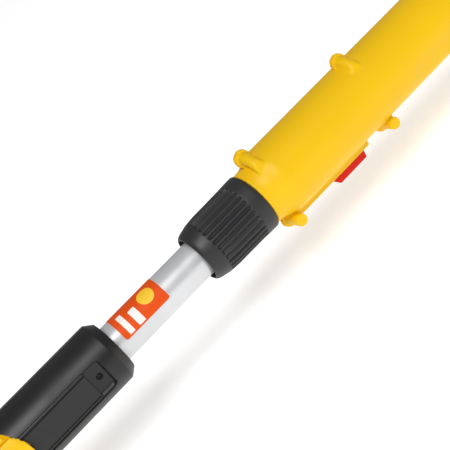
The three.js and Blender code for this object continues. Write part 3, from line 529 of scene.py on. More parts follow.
def tube_outline(start, end, outer, inner):
    """A tube's wall from start to end between two radii, its rims broken by a small chamfer."""
    edge = 0.3
    return [
        (start, inner + edge), (start, outer - edge), (start + edge, outer),
        *[(x, outer) for x in np.linspace(start + 8, end - 8, 6)],
        (end - edge, outer), (end, outer - edge), (end, inner + edge), (end - edge, inner),
        *[(x, inner) for x in np.linspace(end - 8, start + 8, 6)],
        (start + edge, inner),
    ]


def make_tubes():
    dress(turned("inner_tube", tube_outline(*INNER_TUBE)), "saw_head", "alloy_tube", "pole_tube")
    dress(turned("grip_tube", tube_outline(*OUTER_TUBE)), "handle_pole", "alloy_tube", "outer_tube")


def film(name, from_x, to_x, from_angle, to_angle, radius, thickness, corner=0.0, columns=72):
    """A patch of film on the inner tube: a rounded rectangle bent round it, angles in degrees from +y."""
    width = to_x - from_x
    arc_length = radians(to_angle - from_angle) * radius
    rows = 14
    points = []
    for j in range(columns + 1):
        along = arc_length * j / columns
        gap = min(along, arc_length - along)
        pull = 0.0
        if gap < corner:
            pull = corner - sqrt(max(0.0, corner ** 2 - (corner - gap) ** 2))
        angle = radians(from_angle) + along / radius
        line = [from_x + pull + (width - 2 * pull) * i / rows for i in range(rows + 1)]
        for away, xs in ((radius, line), (radius - thickness, line[::-1])):
            points += [(x, away * cos(angle), away * sin(angle)) for x in xs]
    ring = 2 * rows + 2
    faces = band_faces(columns + 1, ring)
    for end in (0, columns * ring):
        faces += [(end + i, end + i + 1, end + ring - 2 - i, end + ring - 1 - i) for i in range(rows)]
    made = mesh_object(name, points, faces)
    face_outwards(made)
    return made


LABEL_RADIUS = 13.7
LABEL_BARS = ((-94.6, 4.0, 104, 168), (-86.6, 5.4, 118, 168))
DISC_START, DISC_SIZE = -77.2, 11.8
INK = 0.03


def make_label():
    """An orange film with two plain white bars and a yellow disc, in place of any print."""
    label = film("label_film", -98.9, -60.7, -3, 173, LABEL_RADIUS, 0.15, 1.4, 96)
    dress(label, "saw_head", "label_print", "tube_label")
    for number, (x, width, start, end) in enumerate(LABEL_BARS, 1):
        bar = film("label_bar_%d" % number, x, x + width, start, end, LABEL_RADIUS + INK, INK, 0.5)
        dress(bar, "saw_head", "label_print", look="label_white")
    ends = (DISC_START, DISC_START + DISC_SIZE, 96, 96 + degrees(DISC_SIZE / LABEL_RADIUS))
    disc = film("label_disc", *ends, LABEL_RADIUS + INK, INK, DISC_SIZE / 2)
    dress(disc, "saw_head", "label_print", look="label_yellow")


# ---- Clamp housing ----

BOSS_OFFSET = 27.2
BOSSES = [(station, side) for station in (37.2, 132.1, 227.0, 321.9) for side in (1, -1)]
HOUSING_NECK = 21.1
HOUSING_RADIUS = 25.75
HOUSING_END = 330
TUBE_BORE = 17.35
FLAT_DEPTH = 1.6
FLAT_ANGLE = radians(201)
BUTTON_START, BUTTON_END = 74.9, 108.2
BUTTON_BACK = -20.8
BUTTON_SPRING_X = 91.8
SCREW_TIPS = {1: -3.6, -1: -9.9}


def housing_outside(x, y, z):
    """The barrel with its swell, flat, tapered tail, button pad and pairs of screw bosses."""
    distance = np.hypot(y, z)
    swell = smooth_step(x, 29, 46)
    body = distance - (HOUSING_NECK + (HOUSING_RADIUS - HOUSING_NECK) * swell)
    fade = 4.0 * (1 - smooth_step(x, 142, 176))
    flat = y * cos(FLAT_ANGLE) + z * sin(FLAT_ANGLE) - (HOUSING_RADIUS - FLAT_DEPTH) - fade
    body = both(body, flat, 0.5)
    body = both(body, 26 - x, 0.5)
    tail = (distance - HOUSING_RADIUS + (x - HOUSING_END + 5) * 0.8) * 0.78
    body = both(both(body, tail, 3), x - HOUSING_END, 0.8)
    body = join(body, rod_x(x, y, z, 0, 40, 18.2, 0.5), 0.4)
    pad = brick(x, y, z, (42.8, -8, -28.7), (112.9, 8, -12), 1.2)
    body = join(body, pad, 1.6)
    reach = -np.minimum(y, 0)
    leaning = x - 0.07 * reach
    for station, side in BOSSES:
        at_z = side * BOSS_OFFSET
        if side > 0:
            near = rod_y(leaning, y, z + 0.03 * reach ** 2, station, at_z, -15, 2, 4.1, 2.0)
            body = join(body, near, 2.2)
        else:
            body = join(body, rod_y(leaning, y, z, station, at_z, -16.2, 2, 4.25, 0.5), 2.6)
        body = join(body, rod_y(x, y, z, station, at_z, -1.2, 2.6, 6.1, 0.7), 0.9)
    return body


def housing_field(x, y, z):
    """The housing bored for the collet and the outer tube, with the button's slot and the screw holes."""
    body = housing_outside(x, y, z)
    front = rod_x(x, y, z, -6, 22, 15.7, 0.4)
    bore = rod_x(x, y, z, 21, HOUSING_END + 8, TUBE_BORE, 0.4)
    body = cut(body, np.minimum(front, bore), 0.4)
    slot = brick(x, y, z, (BUTTON_START - 0.3, -5.35, -40), (BUTTON_END + 0.3, 5.35, -16), 0.6)
    body = cut(body, slot, 0.5)
    for station, side in BOSSES:
        hole = rod_y(x, y, z, station, side * BOSS_OFFSET, SCREW_TIPS[side] - 0.3, 9, 2.1, 0.3)
        body = cut(body, hole, 0.3)
    return body


def make_housing():
    grown_halves("housing_shell", "handle_pole", "yellow_plastic", "clamp_housing",
                 housing_field, (0, -27, -34), (HOUSING_END, 27, 34), 1.1)


def make_button():
    """The length button: a wedge-ended key on a flange, with a seat for its spring in the back."""
    def field(x, y, z):
        depth = np.maximum(-28 - z, 0)
        body = brick(x, y, z, (BUTTON_START, -5, -35.3), (BUTTON_END, 5, BUTTON_BACK), 0.8)
        lean = both(BUTTON_START + 0.78 * depth - x, x - BUTTON_END + 0.16 * depth, 0.4) * 0.8
        body = both(body, lean, 0.5)
        flange = brick(x, y, z, (72.6, -5.8, -22.2), (110.8, 5.8, BUTTON_BACK), 0.5)
        spring_seat = rod_z(x, y, z, BUTTON_SPRING_X, 0, -24.2, -18, 5.1, 0.2)
        return cut(join(body, flange, 0.3), spring_seat, 0.2)
    grown("red_button", "length_button", "red_plastic", "length_button",
          field, (72, -6, -35.6), (111.2, 6, -20.5), 0.5)


# ---- Neck ----

PANEL_LEVEL = 19.6
POCKET_LEVEL = 16.9
PANEL_FROM = -133.2
NECK_RADIUS = 22.6
NECK_END = -105.6
NECK_SCREW_X = {"near": -126.4, "far": -125.6}
NECK_STEP = (0.6, 0.45, 0.45)


def neck_field(x, y, z):
    """The round neck: a sunk border, panel and lines on both sides and a screw pocket on the near one."""
    distance = np.hypot(y, z)
    body = both(distance - NECK_RADIUS, -206 - x, 0.4)
    body = both(body, (distance - 18.3 + (x - NECK_END) * 0.75) * 0.8, 0.3)
    body = both(body, x - NECK_END, 0.4)
    for side in (-1, 1):
        level = side * y
        frame_depth = both(NECK_RADIUS - 0.8 - distance, 5 - level, 0.1)
        border = both(both(np.abs(z) - 10.9, x + 121.5, 3), frame_depth, 0.1)
        body = cut(body, border, 0.15)
        panel = both(both(np.abs(z) - 8.7, x - PANEL_FROM, 0.3), PANEL_LEVEL - level, 0.1)
        body = cut(body, panel, 0.15)
        for edge, floor_level, line_end in ((8.9, PANEL_LEVEL - 0.9, PANEL_FROM), (11.0, 18.5, -124.0)):
            line = both(np.abs(np.abs(z) - edge) - 0.4, floor_level - level, 0.1)
            body = cut(body, both(line, x - line_end, 0.3), 0.15)
    pocket = brick(x, -y, z, (-150, POCKET_LEVEL, -10.9), (-120.9, 40, 10.9), 3.2)
    pocket = both(pocket, PANEL_FROM - x, 0.2)
    body = cut(body, pocket, 0.3)
    recess = rod_y(x, y, z, NECK_SCREW_X["far"], 0, POCKET_LEVEL, 40, 4.6, 0.3)
    socket = rod_y(x, y, z, NECK_SCREW_X["near"], 0, -40, -11, 2.1, 0.4)
    hole = rod_y(x, y, z, NECK_SCREW_X["far"], 0, -12, 40, 2.2, 0.2)
    body = cut(cut(body, recess, 0.3), np.minimum(hole, socket), 0.3)
    bore = rod_x(x, y, z, -188.3, -100, 13.8, 0.2)
    lead = rod_x(x, y, z, -210, -180, 9, 0.2)
    return cut(body, np.minimum(bore, lead), 0.3)


def make_neck():
    grown_halves("neck_cover", "saw_head", "black_plastic", "neck_shell",
                 neck_field, (-206, -22.7, -22.7), (-105, 22.7, 22.7), NECK_STEP)


# ---- Saw head ----


def rounded(corners):
    """A polygon's (a, b, radius) corners, each turned into a short curve."""
    points = []
    count = len(corners)
    for i, (a, b, radius) in enumerate(corners):
        here = Vector((a, b))
        before = Vector(corners[i - 1][:2]) - here
        after = Vector(corners[(i + 1) % count][:2]) - here
        reach = min(radius, 0.45 * before.length, 0.45 * after.length)
        enter = here + before.normalized() * reach
        leave = here + after.normalized() * reach
        for t in (0, 0.2, 0.4, 0.6, 0.8, 1):
            point = enter * (1 - t) ** 2 + here * 2 * t * (1 - t) + leave * t * t
            if not points or (point - Vector(points[-1])).length > 1e-6:
                points.append((point.x, point.y))
    return points


HEAD_OUTLINE = rounded([
    (-206, -24.6, 1), (-222, -26, 8), (-244, -72, 14), (-372, -72, 12), (-392, -40, 14),
    (-392, 8, 20), (-352, 30, 24), (-290, 34, 24), (-232, 36, 20), (-206, 24.6, 1),
])
HEAD_PLAN = rounded([
    (-204, -24.6, 1), (-232, -38, 16), (-392, -38, 16), (-392, 29, 12), (-232, 29, 12), (-204, 24.6, 1),
])
ARCH_OUTLINE = rounded([
    (-214, -23.5, 0), (-194, -23.5, 8), (-183, -8, 12), (-183, 8, 12), (-194, 23.5, 8), (-214, 23.5, 0),
])
HEAD_SCREWS = ((-228, 18), (-253, -59), (-380, -4))
MOTOR_X, DRIVE_X, DRIVE_Z = -262, -292, -8
STUD_X = -352
OIL_X, OIL_Z = -352, -46


def head_outside(x, y, z):
    """The head's body, cut by its side and plan outlines, with the arched sleeve round the neck."""
    flat = outline_distance(x, z, HEAD_OUTLINE)
    depth = np.abs(y + 4.5) - 33.5
    body = both(flat, depth, 15)
    body = both(body, outline_distance(x, y, HEAD_PLAN), 5)
    sleeve = both(np.hypot(y, z) - 24.6, outline_distance(x, z, ARCH_OUTLINE), 0.8)
    sleeve = both(sleeve, -214 - x, 1)
    return join(body, sleeve, 5)


def head_field(x, y, z):
    """The hollow head with its ring, accent line, screw posts, holes and vents."""
    outside = head_outside(x, y, z)
    motor = np.hypot(x - MOTOR_X + 4, z - DRIVE_Z)
    ring = both(np.abs(motor - 27) - 0.9, y + 36.8, 0.4)
    body = cut(outside, both(ring, -y - 39, 0.3), 0.6)
    accent = np.abs(z + 60 - 0.06 * (x + 300)) - 0.9
    accent = both(both(accent, np.abs(x + 300) - 62, 1), -outside - 0.9, 0.3)
    body = cut(body, accent, 0.6)
    hollow = outside + SHELL_WALL
    neck_room = rod_x(x, y, z, -212.3, -150, NECK_RADIUS + 0.15, 0.3)
    body = cut(body, np.minimum(hollow, neck_room), 0.5)
    posts = rods_y(x, y, z, HEAD_SCREWS, -38, 29, 5, 0.3)
    body = join(body, both(posts, outside + 0.6, 0.3), 0.8)
    holes = np.minimum(
        rod_y(x, y, z, DRIVE_X, DRIVE_Z, 20, 40, 5.4, 0.3),
        rod_y(x, y, z, STUD_X, DRIVE_Z, 20, 40, 3.3, 0.3),
    )
    holes = np.minimum(holes, rod_y(x, y, z, OIL_X, OIL_Z, -50, -20, 11.3, 0.3))
    holes = np.minimum(holes, rods_y(x, y, z, HEAD_SCREWS, 25, 40, 4.2, 0.3))
    holes = np.minimum(holes, rods_y(x, y, z, HEAD_SCREWS, -14, 40, 2, 0.2))
    for vent_x in range(-280, -243, 9):
        holes = np.minimum(holes, brick(x, y, z, (vent_x - 2, -50, -20), (vent_x + 2, -20, 8), 1.9))
    return cut(body, holes, 0.7)


def make_head():
    grown_halves("head_cover", "saw_head", "yellow_plastic", "head_shell",
                 head_field, (-393, -38.5, -72.5), (-182, 29.5, 37), 1.5)


COVER_OUTLINE = rounded([(-260, -39, 20), (-260, 23, 20), (-388, 23, 14), (-398, -8, 6), (-388, -39, 14)])
COVER_INSIDE = rounded([(-262.6, -36.4, 18), (-262.6, 20.4, 18), (-404, 20.4, 2), (-404, -36.4, 2)])


def cover_field(x, y, z):
    """The sprocket cover: a shell with a rim line, four louvres and a seat for the knob."""
    flat = outline_distance(x, z, COVER_OUTLINE)
    body = both(both(flat, y - 52, 7), 29.9 - y, 0.4)
    inside = both(outline_distance(x, z, COVER_INSIDE), y - 49.5, 3)
    body = cut(body, inside, 0.5)
    rim_line = both(np.abs(flat + 9) - 0.8, 20 - np.hypot(x - STUD_X, z - DRIVE_Z), 1)
    body = cut(body, both(rim_line, 51.1 - y, 0.3), 0.5)
    for i in range(4):
        louvre = brick(x, y, z, (-300 + 8 * i, 51, -24), (-296.5 + 8 * i, 60, 8), 1.6)
        body = cut(body, louvre, 0.5)
    seat = rod_y(x, y, z, STUD_X, DRIVE_Z, 51.3, 60, 15.4, 0.4)
    hole = rod_y(x, y, z, STUD_X, DRIVE_Z, 40, 60, 3.5, 0.2)
    return cut(cut(body, seat, 0.5), hole, 0.3)


def make_cover():
    grown("drive_cover", "saw_head", "black_plastic", "sprocket_cover",
          cover_field, (-398.5, 29.5, -39.5), (-259.5, 52.5, 23.5), 1.1)


def make_knob():
    def field(x, y, z):
        angle = np.arctan2(z - DRIVE_Z, x - STUD_X)
        away = np.hypot(x - STUD_X, z - DRIVE_Z)
        rim = away - 13.2 + 0.7 * np.cos(8 * angle) * smooth_step(away, 8, 13)
        body = both(rim, np.abs(y - 56.7) - 4.3, 1.2)
        wing = brick(x, y, z, (STUD_X - 11, 57, DRIVE_Z - 3), (STUD_X + 11, 67, DRIVE_Z + 3), 2.4)
        body = join(body, wing, 2.5)
        bore = rod_y(x, y, z, STUD_X, DRIVE_Z, 50, 59, 3.4, 0.2)
        return cut(body, bore, 0.3)
    grown("bar_cover_knob", "cover_knob", "red_plastic", "cover_knob",
          field, (STUD_X - 14.5, 52, DRIVE_Z - 14.5), (STUD_X + 14.5, 67.5, DRIVE_Z + 14.5), 0.7)


def make_oil_cap():
    def field(x, y, z):
        angle = np.arctan2(z - OIL_Z, x - OIL_X)
        away = np.hypot(x - OIL_X, z - OIL_Z)
        rim = away - 13.1 + 0.35 * np.cos(28 * angle) * smooth_step(away, 9, 12)
        body = both(rim, np.abs(y + 41.2) - 2.8, 0.9)
        dish = both(away - 10.5, y + 42.6, 0.5)
        body = cut(body, dish, 0.6)
        grip = brick(x, y, z, (OIL_X - 10, -47, OIL_Z - 2), (OIL_X + 10, -40, OIL_Z + 2), 1.2)
        body = join(body, grip, 0.8)
        return join(body, rod_y(x, y, z, OIL_X, OIL_Z, -41, -30, 6.8, 0.5), 0.6)
    grown("oil_filler_cap", "oil_cap", "black_plastic", "oil_cap",
          field, (OIL_X - 14, -47.5, OIL_Z - 14), (OIL_X + 14, -29.5, OIL_Z + 14), 0.62)


# ---- Rear handle ----

HANDLE_OUTLINE = rounded([
    (912, 24, 10), (942, 27, 20), (1045, 27, 30), (1085, 12, 24), (1085, -52, 20),
    (1063, -72, 16), (946, -72, 16), (924, -30, 12), (912, -24, 6),
])
HAND_OPENING = rounded([(940, -12, 9), (1055, -12, 14), (1061, -50, 12), (958, -53, 12)])
HANDLE_SCREWS = ((916, -12), (1067, 2), (1069, -60), (952, -63))
LOCK_X, LOCK_Z = 943, 10
TRIGGER_X, TRIGGER_Z = 951, -3
INLET_AXIS = (0, 0, -8)


def handle_outside(x, y, z):
    """The loop of the handle, joined to the round socket that holds the outer tube."""
    loop = both(outline_distance(x, z, HANDLE_OUTLINE), np.abs(y) - 16, 12)
    loop = cut(loop, outline_distance(x, z, HAND_OPENING), 5)
    distance = np.hypot(y, z)
    socket = both(distance - 24, np.abs(x - 896) - 34, 3)
    socket = both(socket, (distance - 24 + (x - 922) * 0.8) * 0.78, 3)
    return join(loop, socket, 6)


def handle_field(x, y, z):
    """The hollow handle with grip grooves, socket rings, screw posts and holes."""
    body = outside = handle_outside(x, y, z)
    for i in range(7):
        groove_x = 986 + 8 * i
        groove = both(np.abs(x - groove_x) - 1.0, -outside - 0.7, 0.3)
        body = cut(body, both(groove, -9 - z, 1), 0.5)
    for i in range(3):
        ring = both(np.abs(x - 868 - 5 * i) - 0.9, 23.2 - np.hypot(y, z), 0.3)
        body = cut(body, ring, 0.5)
    hollow = both(outside + SHELL_WALL, 906 - x, 0.5)
    bore = rod_x(x, y, z, 850, 905.4, TUBE_BORE, 0.3)
    body = cut(body, np.minimum(hollow, bore), 0.5)
    posts = rods_y(x, y, z, HANDLE_SCREWS, -16, 16, 4.8, 0.3)
    body = join(body, both(posts, outside + 0.6, 0.3), 0.8)
    holes = brick(x, y, z, (944, -6, -15), (995, 6, 4), 0.6)
    holes = np.minimum(holes, rod_y(x, y, z, LOCK_X, LOCK_Z, -60, 0, 5.5, 0.3))
    inlet = both(np.hypot(y, z - INLET_AXIS[2]) - 6.6, np.abs(x - 1082) - 14, 0.3)
    holes = np.minimum(holes, inlet)
    holes = np.minimum(holes, rods_y(x, y, z, HANDLE_SCREWS, 11.4, 40, 4.3, 0.3))
    holes = np.minimum(holes, rods_y(x, y, z, HANDLE_SCREWS, -8, 40, 2, 0.2))
    return cut(body, holes, 0.6)


def make_handle():
    grown_halves("handle_cover", "handle_pole", "yellow_plastic", "handle_shell",
                 handle_field, (862, -24.2, -72.5), (1085.5, 24.2, 27.5), 1.4)


# Measured from the trigger's pivot.
TRIGGER_OUTLINE = rounded([
    (-4, 2.5, 1), (-4, -4, 2), (3, -7, 5), (11, -21, 4), (14, -27, 3), (21, -27, 3), (31, -17, 6),
    (37, -3, 2), (37, 2.5, 1),
])


def make_trigger():
    def field(x, y, z):
        flat = outline_distance(x - TRIGGER_X, z - TRIGGER_Z, TRIGGER_OUTLINE)
        body = both(flat, np.abs(y) - 5.4, 2.6)
        spring_seat = rod_z(x, y, z, TRIGGER_X + 22, 0, -4.6, 8, 4.2, 0.3)
        body = cut(body, spring_seat, 0.3)
        groove = both(np.abs(np.abs(y) - 2.2) - 0.5, -flat - 0.8, 0.3)
        body = cut(body, both(groove, z + 8, 1), 0.4)
        return cut(body, rod_y(x, y, z, TRIGGER_X, TRIGGER_Z, -10, 10, 2.1, 0.1), 0.2)
    grown("switch_trigger", "trigger", "black_plastic", "trigger",
          field, (946, -5.8, -30.5), (989, 5.8, 0), 0.62)


def make_lock_button():
    def field(x, y, z):
        body = rod_y(x, y, z, LOCK_X, LOCK_Z, -20.5, -6, 5, 1.1)
        away = np.hypot(x - LOCK_X, z - LOCK_Z)
        for radius in (1.4, 3.0):
            ring = both(np.abs(away - radius) - 0.35, y + 20.0, 0.2)
            body = cut(body, ring, 0.2)
        return join(body, rod_y(x, y, z, LOCK_X, LOCK_Z, -11.5, -10, 7, 0.4), 0.4)
    grown("lock_button", "lock_off_button", "black_plastic", "lock_off_button",
          field, (LOCK_X - 7.5, -20.8, LOCK_Z - 7.5), (LOCK_X + 7.5, -5.5, LOCK_Z + 7.5), 0.5)


def make_inlet():
    """The appliance inlet: a ribbed boot round an open socket with two pins."""
    outline = [
        (1071, 4.0), (1071, 6.2), (1085.4, 6.2), (1085.4, 9.2), (1085.8, 9.9), (1086.6, 10), (1092.2, 9.9),
        (1092.9, 9.4),
    ]
    for i in range(4):
        x = 1093.6 + 3.9 * i
        radius = 9.3 - 0.42 * i
        outline += [(x, radius - 0.9), (x + 0.9, radius - 0.95), (x + 1.5, radius), (x + 3.1, radius - 0.15)]
    outline += [(1109, 7.2), (1109, 5.1), (1108.5, 4.65), (1091, 4.6), (1090.6, 4.0)]
    boot = turned("inlet_boot", outline, 64, centre=INLET_AXIS)
    dress(boot, "handle_pole", "black_plastic", "cord_inlet", look="rubber_black")
    outline = [(1088, 0.05), (1088, 0.75), (1102, 0.75), (1102.7, 0.45), (1102.8, 0.05)]
    for number, y in enumerate((-2.1, 2.1), 1):
        pin = turned("inlet_pin_%d" % number, outline, 16, centre=(0, y, INLET_AXIS[2]))
        dress(pin, "handle_pole", "steel")
    outline = [(1088, 0.05), (1088, 4.3), (1090.9, 4.3), (1090.9, 0.05)]
    dress(turned("inlet_base", outline, 40, centre=INLET_AXIS), "handle_pole", "black_plastic")


# ---- Grip, strap clamp and ring ----


def make_grip():
    outline = [(480, 17.2), (480, 20.2), (480.6, 21.3), (481.8, 21.9), (483.2, 22)]
    for x in np.arange(486, 716, 2.0):
        finger = 0.55 * cos((x - 600) * 2 * pi / 26) if 496 < x < 704 else 0.0
        outline.append((x, 21.4 + finger))
    outline += [(716.8, 22), (718.2, 21.9), (719.4, 21.3), (720, 20.2), (720, 17.2)]
    grip = turned("foam_sleeve", outline, 96, crease=50)
    dress(grip, "handle_pole", "foam", "foam_grip")


STRAP_X = 410
STRAP_EYE_Z = -29
STRAP_SCREW_Z = 27


def strap_clamp_field(x, y, z):
    """A split ring round the outer tube, with a lug for the strap ring below and screw ears above."""
    x = x - STRAP_X
    ring = both(np.hypot(y, z) - 21, np.abs(x) - 9, 1.4)
    lug = brick(x, y, z, (-4, -5, -34), (4, 5, -19), 1.8)
    ears = brick(x, y, z, (-6, -5, 19), (6, 5, 32), 1.8)
    body = join(join(ring, lug, 2), ears, 2)
    body = cut(body, np.hypot(y, z) - 17.1, 0.4)
    split = both(np.abs(y) - 0.8, 10 - z, 0.3)
    eye = np.hypot(y, z - STRAP_EYE_Z) - 2.6
    screw = np.hypot(x, z - STRAP_SCREW_Z) - 2
    return cut(body, np.minimum(np.minimum(split, eye), screw), 0.4)


def make_strap_clamp():
    grown("strap_bracket", "handle_pole", "black_plastic", "strap_clamp",
          strap_clamp_field, (STRAP_X - 9.5, -21.5, -34.5), (STRAP_X + 9.5, 21.5, 32.5), 0.8)


def wire_loop(name, path, radius):
    """A round wire along a closed path of points in pole coordinates."""
    sides = 14
    path = [Vector(p) for p in path]
    points = []
    normal = Vector((0, 1, 0))
    for i, here in enumerate(path):
        tangent = (path[(i + 1) % len(path)] - path[i - 1]).normalized()
        side = (normal - normal.dot(tangent) * tangent).normalized()
        other = tangent.cross(side)
        for k in range(sides):
            turn = 2 * pi * k / sides
            points.append(here + radius * (cos(turn) * side + sin(turn) * other))
    made = mesh_object(name, [tuple(p) for p in points], band_faces(len(path), sides, closed=True), 60)
    face_outwards(made)
    return made


def make_ring():
    """The strap ring: a straight bar through the lug's eye, round corners and a deep bow."""
    corner = [(13.6, -0.4), (14.5, -1.3), (14.7, -2.4)]
    turns = [radians(-8 - 164 * i / 24) for i in range(1, 24)]
    path = [(x, 0) for x in np.linspace(-11, 11, 12)] + corner
    path += [(14.6 * cos(turn), 18 * sin(turn)) for turn in turns]
    path += [(-a, b) for a, b in reversed(corner)]
    path = [(STRAP_X + a, 0, STRAP_EYE_Z + b) for a, b in path]
    dress(wire_loop("carry_ring", path, 1.8), "strap_ring", "steel", "strap_ring")


# ---- Bar and chain ----

BAR_Y = 36
BAR_HALF = 21
BAR_TAIL_X = -322
BAR_NOSE_X = -576.4
RIVETS = [(BAR_NOSE_X - 8 * cos(t), 8 * sin(t)) for t in map(radians, (-60, -20, 20, 60))]
CHAIN_PITCH = 9.5
CHAIN_TURN_X = -342
BAR_STEP = (1.3, 0.5, 0.9)


def bar_field(x, y, z):
    """The guide bar: round nose, tapered tail, stud slot, tension holes, rivet dishes and a rolled line."""
    level = z - DRIVE_Z
    nose = np.hypot(np.minimum(x - BAR_NOSE_X, 0), level) - BAR_HALF
    tail = both(x - BAR_TAIL_X, np.abs(level) - BAR_HALF + (x + 340) * 0.42, 2)
    body = both(both(nose, tail, 1), np.abs(y - BAR_Y) - 2, 0.5)
    slot = np.hypot(np.maximum(np.abs(x + 353) - 16, 0), level) - 3.6
    holes = np.hypot(x + 344, np.abs(level) - 12.5) - 2.6
    for at_x, at_z in RIVETS:
        dish = both(np.hypot(x - at_x, level - at_z) - 1.9, 1.75 - np.abs(y - BAR_Y), 0.2)
        body = cut(body, dish, 0.2)
    line = both(np.abs(np.abs(level) - 16.4) - 0.4, 1.8 - np.abs(y - BAR_Y), 0.1)
    line = both(line, np.abs(x + 470) - 96, 0.4)
    body = cut(body, line, 0.2)
    return cut(body, np.minimum(slot, holes), 0.4)


def make_bar():
    grown("ground_bar", "saw_head", "steel", "guide_bar",
          bar_field, (-598, 33.8, -29.5), (-321.5, 38.2, 13.5), BAR_STEP, look="bar_steel")
    outline = [(-2.05, 0.05), (-2.05, 1.1), (-1.8, 1.5), (1.8, 1.5), (2.05, 1.1), (2.05, 0.05)]
    for number, (x, level) in enumerate(RIVETS, 1):
        centre = (x, BAR_Y, DRIVE_Z + level)
        rivet = turned("nose_rivet_%d" % number, outline, 16, centre=centre, axis="y")
        dress(rivet, "saw_head", "steel")


def chain_path(offset):
    """Even (x, z) stations round the bar and sprocket, offset outside the bar's edge, and their pitch."""
    nose = BAR_HALF + offset
    back = 13 + offset
    turns = np.linspace(pi / 2, 3 * pi / 2, 40)
    line = [(BAR_NOSE_X + nose * cos(t), DRIVE_Z + nose * sin(t)) for t in turns]
    line.append((CHAIN_TURN_X, DRIVE_Z - nose))
    turns = np.linspace(-pi / 2 + 0.13, pi / 2 - 0.13, 30)
    line += [(DRIVE_X + back * cos(t), DRIVE_Z + back * sin(t)) for t in turns]
    line.append((CHAIN_TURN_X, DRIVE_Z + nose))
    line = np.array(line + [line[0]])
    steps = np.hypot(*np.diff(line, axis=0).T)
    length = np.concatenate([[0], np.cumsum(steps)])
    count = int(round(length[-1] / CHAIN_PITCH / 4)) * 4
    at = np.arange(count) * length[-1] / count
    x = np.interp(at, length, line[:, 0])
    z = np.interp(at, length, line[:, 1])
    return np.stack([x, z], 1), length[-1] / count


def link_prism(outline, y_from, y_to, chamfer=0.25):
    """Points and faces of a thin plate drawn in (along, out), its rims chamfered."""
    outline = np.array(outline, float)
    centre = outline.mean(0)
    inner = centre + (outline - centre) * (1 - chamfer / np.maximum(np.abs(outline - centre).max(), 1))
    levels = [(inner, y_from), (outline, y_from + chamfer), (outline, y_to - chamfer), (inner, y_to)]
    count = len(outline)
    points = [(a, y, b) for ring, y in levels for a, b in ring]
    faces = band_faces(len(levels), count)
    faces.append(tuple(reversed(range(count))))
    faces.append(tuple(3 * count + k for k in range(count)))
    return points, faces


def oval(length, height):
    """A tie strap's outline: two round ends with a shallow waist, centred on its two rivets."""
    points = []
    for k in range(16):
        turn = 2 * pi * k / 16
        a = cos(turn)
        shift = (length - height) / 2 * np.sign(a)
        waist = 1 - 0.12 * (1 - abs(a)) ** 2
        points.append((shift + height / 2 * a, height / 2 * sin(turn) * waist))
    return points


# Outlines of the chain's plates, as (along, out) from the middle of the link.
CUTTER = [
    (-4.6, -2.2), (4.6, -2.2), (5.4, -0.2), (4.9, 1.4), (4.2, 3.0), (3.0, 3.1), (2.2, 1.2), (0.9, 0.9),
    (0.2, 3.3), (-5.2, 2.7), (-5.6, 0.4),
]
TOP_PLATE = [(-5.2, 2.75), (0.2, 3.3), (0.15, 2.6), (-5.25, 2.1)]
DRIVER = [(-4.4, 1.9), (4.4, 1.9), (4.7, 0), (3.2, -1.9), (1.2, -4.2), (-0.4, -4.6), (-2.6, -1.9), (-4.7, 0)]


def make_chain():
    """Drive links in the middle plane, tie straps and cutters outside, joined by riveted pins."""
    stations, pitch = chain_path(1.9)
    count = len(stations)
    points, faces = [], []

    def add(part, where, angle, mirrored):
        start = len(points)
        for a, y, b in part[0]:
            a_turned = a * cos(angle) - b * sin(angle)
            b_turned = a * sin(angle) + b * cos(angle)
            points.append((where[0] + a_turned, BAR_Y + (-y if mirrored else y), where[1] + b_turned))
        for face in part[1]:
            moved = tuple(start + i for i in face)
            faces.append(moved[::-1] if mirrored else moved)

    strap = link_prism(oval(pitch + 4.2, 4.4), 0.75, 2.0)
    driver = link_prism(DRIVER, -0.62, 0.62)
    cutter = link_prism(CUTTER, 0.75, 2.1)
    top_plate = link_prism(TOP_PLATE, -0.6, 2.3, 0.12)
    pin_rim = [(0.95 * cos(t), 0.95 * sin(t)) for t in np.arange(8) * pi / 4]
    pin = link_prism(pin_rim, 1.9, 2.4, 0.2)
    for i in range(count):
        here = stations[i]
        there = stations[(i + 1) % count]
        middle = (here + there) / 2
        angle = atan2(there[1] - here[1], there[0] - here[0]) + pi
        if i % 2:
            add(driver, middle, angle, False)
        elif i % 4 == 0:
            left = (i // 4) % 2 == 0
            add(cutter, middle, angle, left)
            add(top_plate, middle, angle, left)
            add(strap, middle, angle, not left)
        else:
            add(strap, middle, angle, True)
            add(strap, middle, angle, False)
        for mirrored in (True, False):
            add(pin, here, angle, mirrored)
    made = mesh_object("cutting_chain", points, faces, 30)
    dress(made, "saw_head", "dark_steel", "saw_chain", look="chain_steel")


# ---- Screws ----


SCREW_HEAD = 3.4
SHANK_RADIUS = 1.55
SHANK_SIDES = 12


def screw_head_field(x, y, z):
    """A pan head on its seat at y = 0, crowned upwards, with a cross recess; sizes for a 6.8 mm head."""
    away = np.hypot(x, z)
    crown = np.sqrt(x ** 2 + z ** 2 + (y + 5.2) ** 2) - 7.4
    body = cut(both(away - SCREW_HEAD, crown, 0.9), y, 0.25)
    depth = 0.95 + 0.25 * away
    cross_a = both(np.abs(x) - 0.42, np.abs(z) - 2.0, 0.2)
    cross_b = both(np.abs(z) - 0.42, np.abs(x) - 2.0, 0.2)
    recess = both(np.minimum(cross_a, cross_b), depth - y, 0.2)
    return cut(body, recess, 0.15)


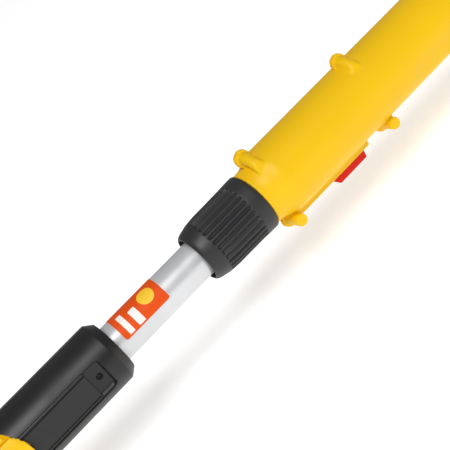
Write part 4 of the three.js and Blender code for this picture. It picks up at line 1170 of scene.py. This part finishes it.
def make_screws():
    """Every screw is the same crowned cross-head screw, scaled to its head and turned to its seat."""
    points, quads = field_surface(screw_head_field, (-3.6, -0.2, -3.6), (3.6, 2.4, 3.6), 0.36)

    def screw(node, body, x, z, seat, tip, head=SCREW_HEAD, twist=0.0, look="steel"):
        away = 1 if seat > tip else -1
        size = head / SCREW_HEAD
        turn = np.array(((cos(twist), sin(twist)), (-sin(twist), cos(twist))))
        across = points[:, [0, 2]] @ turn * size
        placed = np.stack([x + across[:, 0], seat + away * points[:, 1] * min(size, 1), z + across[:, 1]], 1)
        shank = abs(seat - tip)
        turns = np.arange(SHANK_SIDES) * 2 * pi / SHANK_SIDES
        ring = [(cos(t) * SHANK_RADIUS, sin(t) * SHANK_RADIUS) for t in turns]
        rows = [seat + away * 0.5, seat - away * (shank - 1.5), tip]
        shrink = (1, 1, 0.4)
        stem = [(x + a * s, y, z + b * s) for y, s in zip(rows, shrink) for a, b in ring]
        start = len(placed)
        faces = [*map(tuple, quads), *band_faces(3, SHANK_SIDES, start)]
        faces += [tuple(range(end, end + SHANK_SIDES)) for end in (start, start + 2 * SHANK_SIDES)]
        made = mesh_object(node + "_driven", np.concatenate([placed, np.array(stem)]), faces, 40)
        face_outwards(made)
        dress(made, body, look, node)

    for i, (station, side) in enumerate(BOSSES):
        screw("housing_screw_%d" % (i + 1), "handle_pole", station, side * BOSS_OFFSET, 2.9,
              SCREW_TIPS[side], twist=0.7 * (i // 2) + 0.4 * (i % 2))
    for i, (x, z) in enumerate(HEAD_SCREWS):
        screw("head_screw_%d" % (i + 1), "saw_head", x, z, 25.3, -14, twist=0.5 * i)
    for i, (x, z) in enumerate(HANDLE_SCREWS):
        screw("handle_screw_%d" % (i + 1), "handle_pole", x, z, 11.7, -6, twist=0.9 * i)
    screw("strap_screw", "handle_pole", STRAP_X, STRAP_SCREW_Z, 5.3, -6.5, 3.2, 0.3)
    screw("neck_screw_1", "saw_head", NECK_SCREW_X["near"], 0, -15.6, -12, 1.9, 0.6, "dark_steel")
    screw("neck_screw_2", "saw_head", NECK_SCREW_X["far"], 0, 18.1, 12, 3.2, 0.6, "dark_steel")


# ---- Everything together ----


def finish_cad_nodes():
    """The inner pieces keep their CAD shape and take a detailed finish from their slot."""
    for part in frame["record"]["subparts"]:
        node = frame["nodes"][part["node"]]
        node.data.materials.clear()
        node.data.materials.append(MATERIALS[part["material_slot"]])


make_camera()
make_studio()
MATERIALS = make_materials()
finish_cad_nodes()
for make in (
    make_collar, make_tubes, make_label, make_housing, make_button, make_neck, make_head, make_cover,
    make_knob, make_oil_cap, make_handle, make_trigger, make_lock_button, make_inlet, make_grip,
    make_strap_clamp, make_ring, make_bar, make_chain, make_screws,
):
    make()
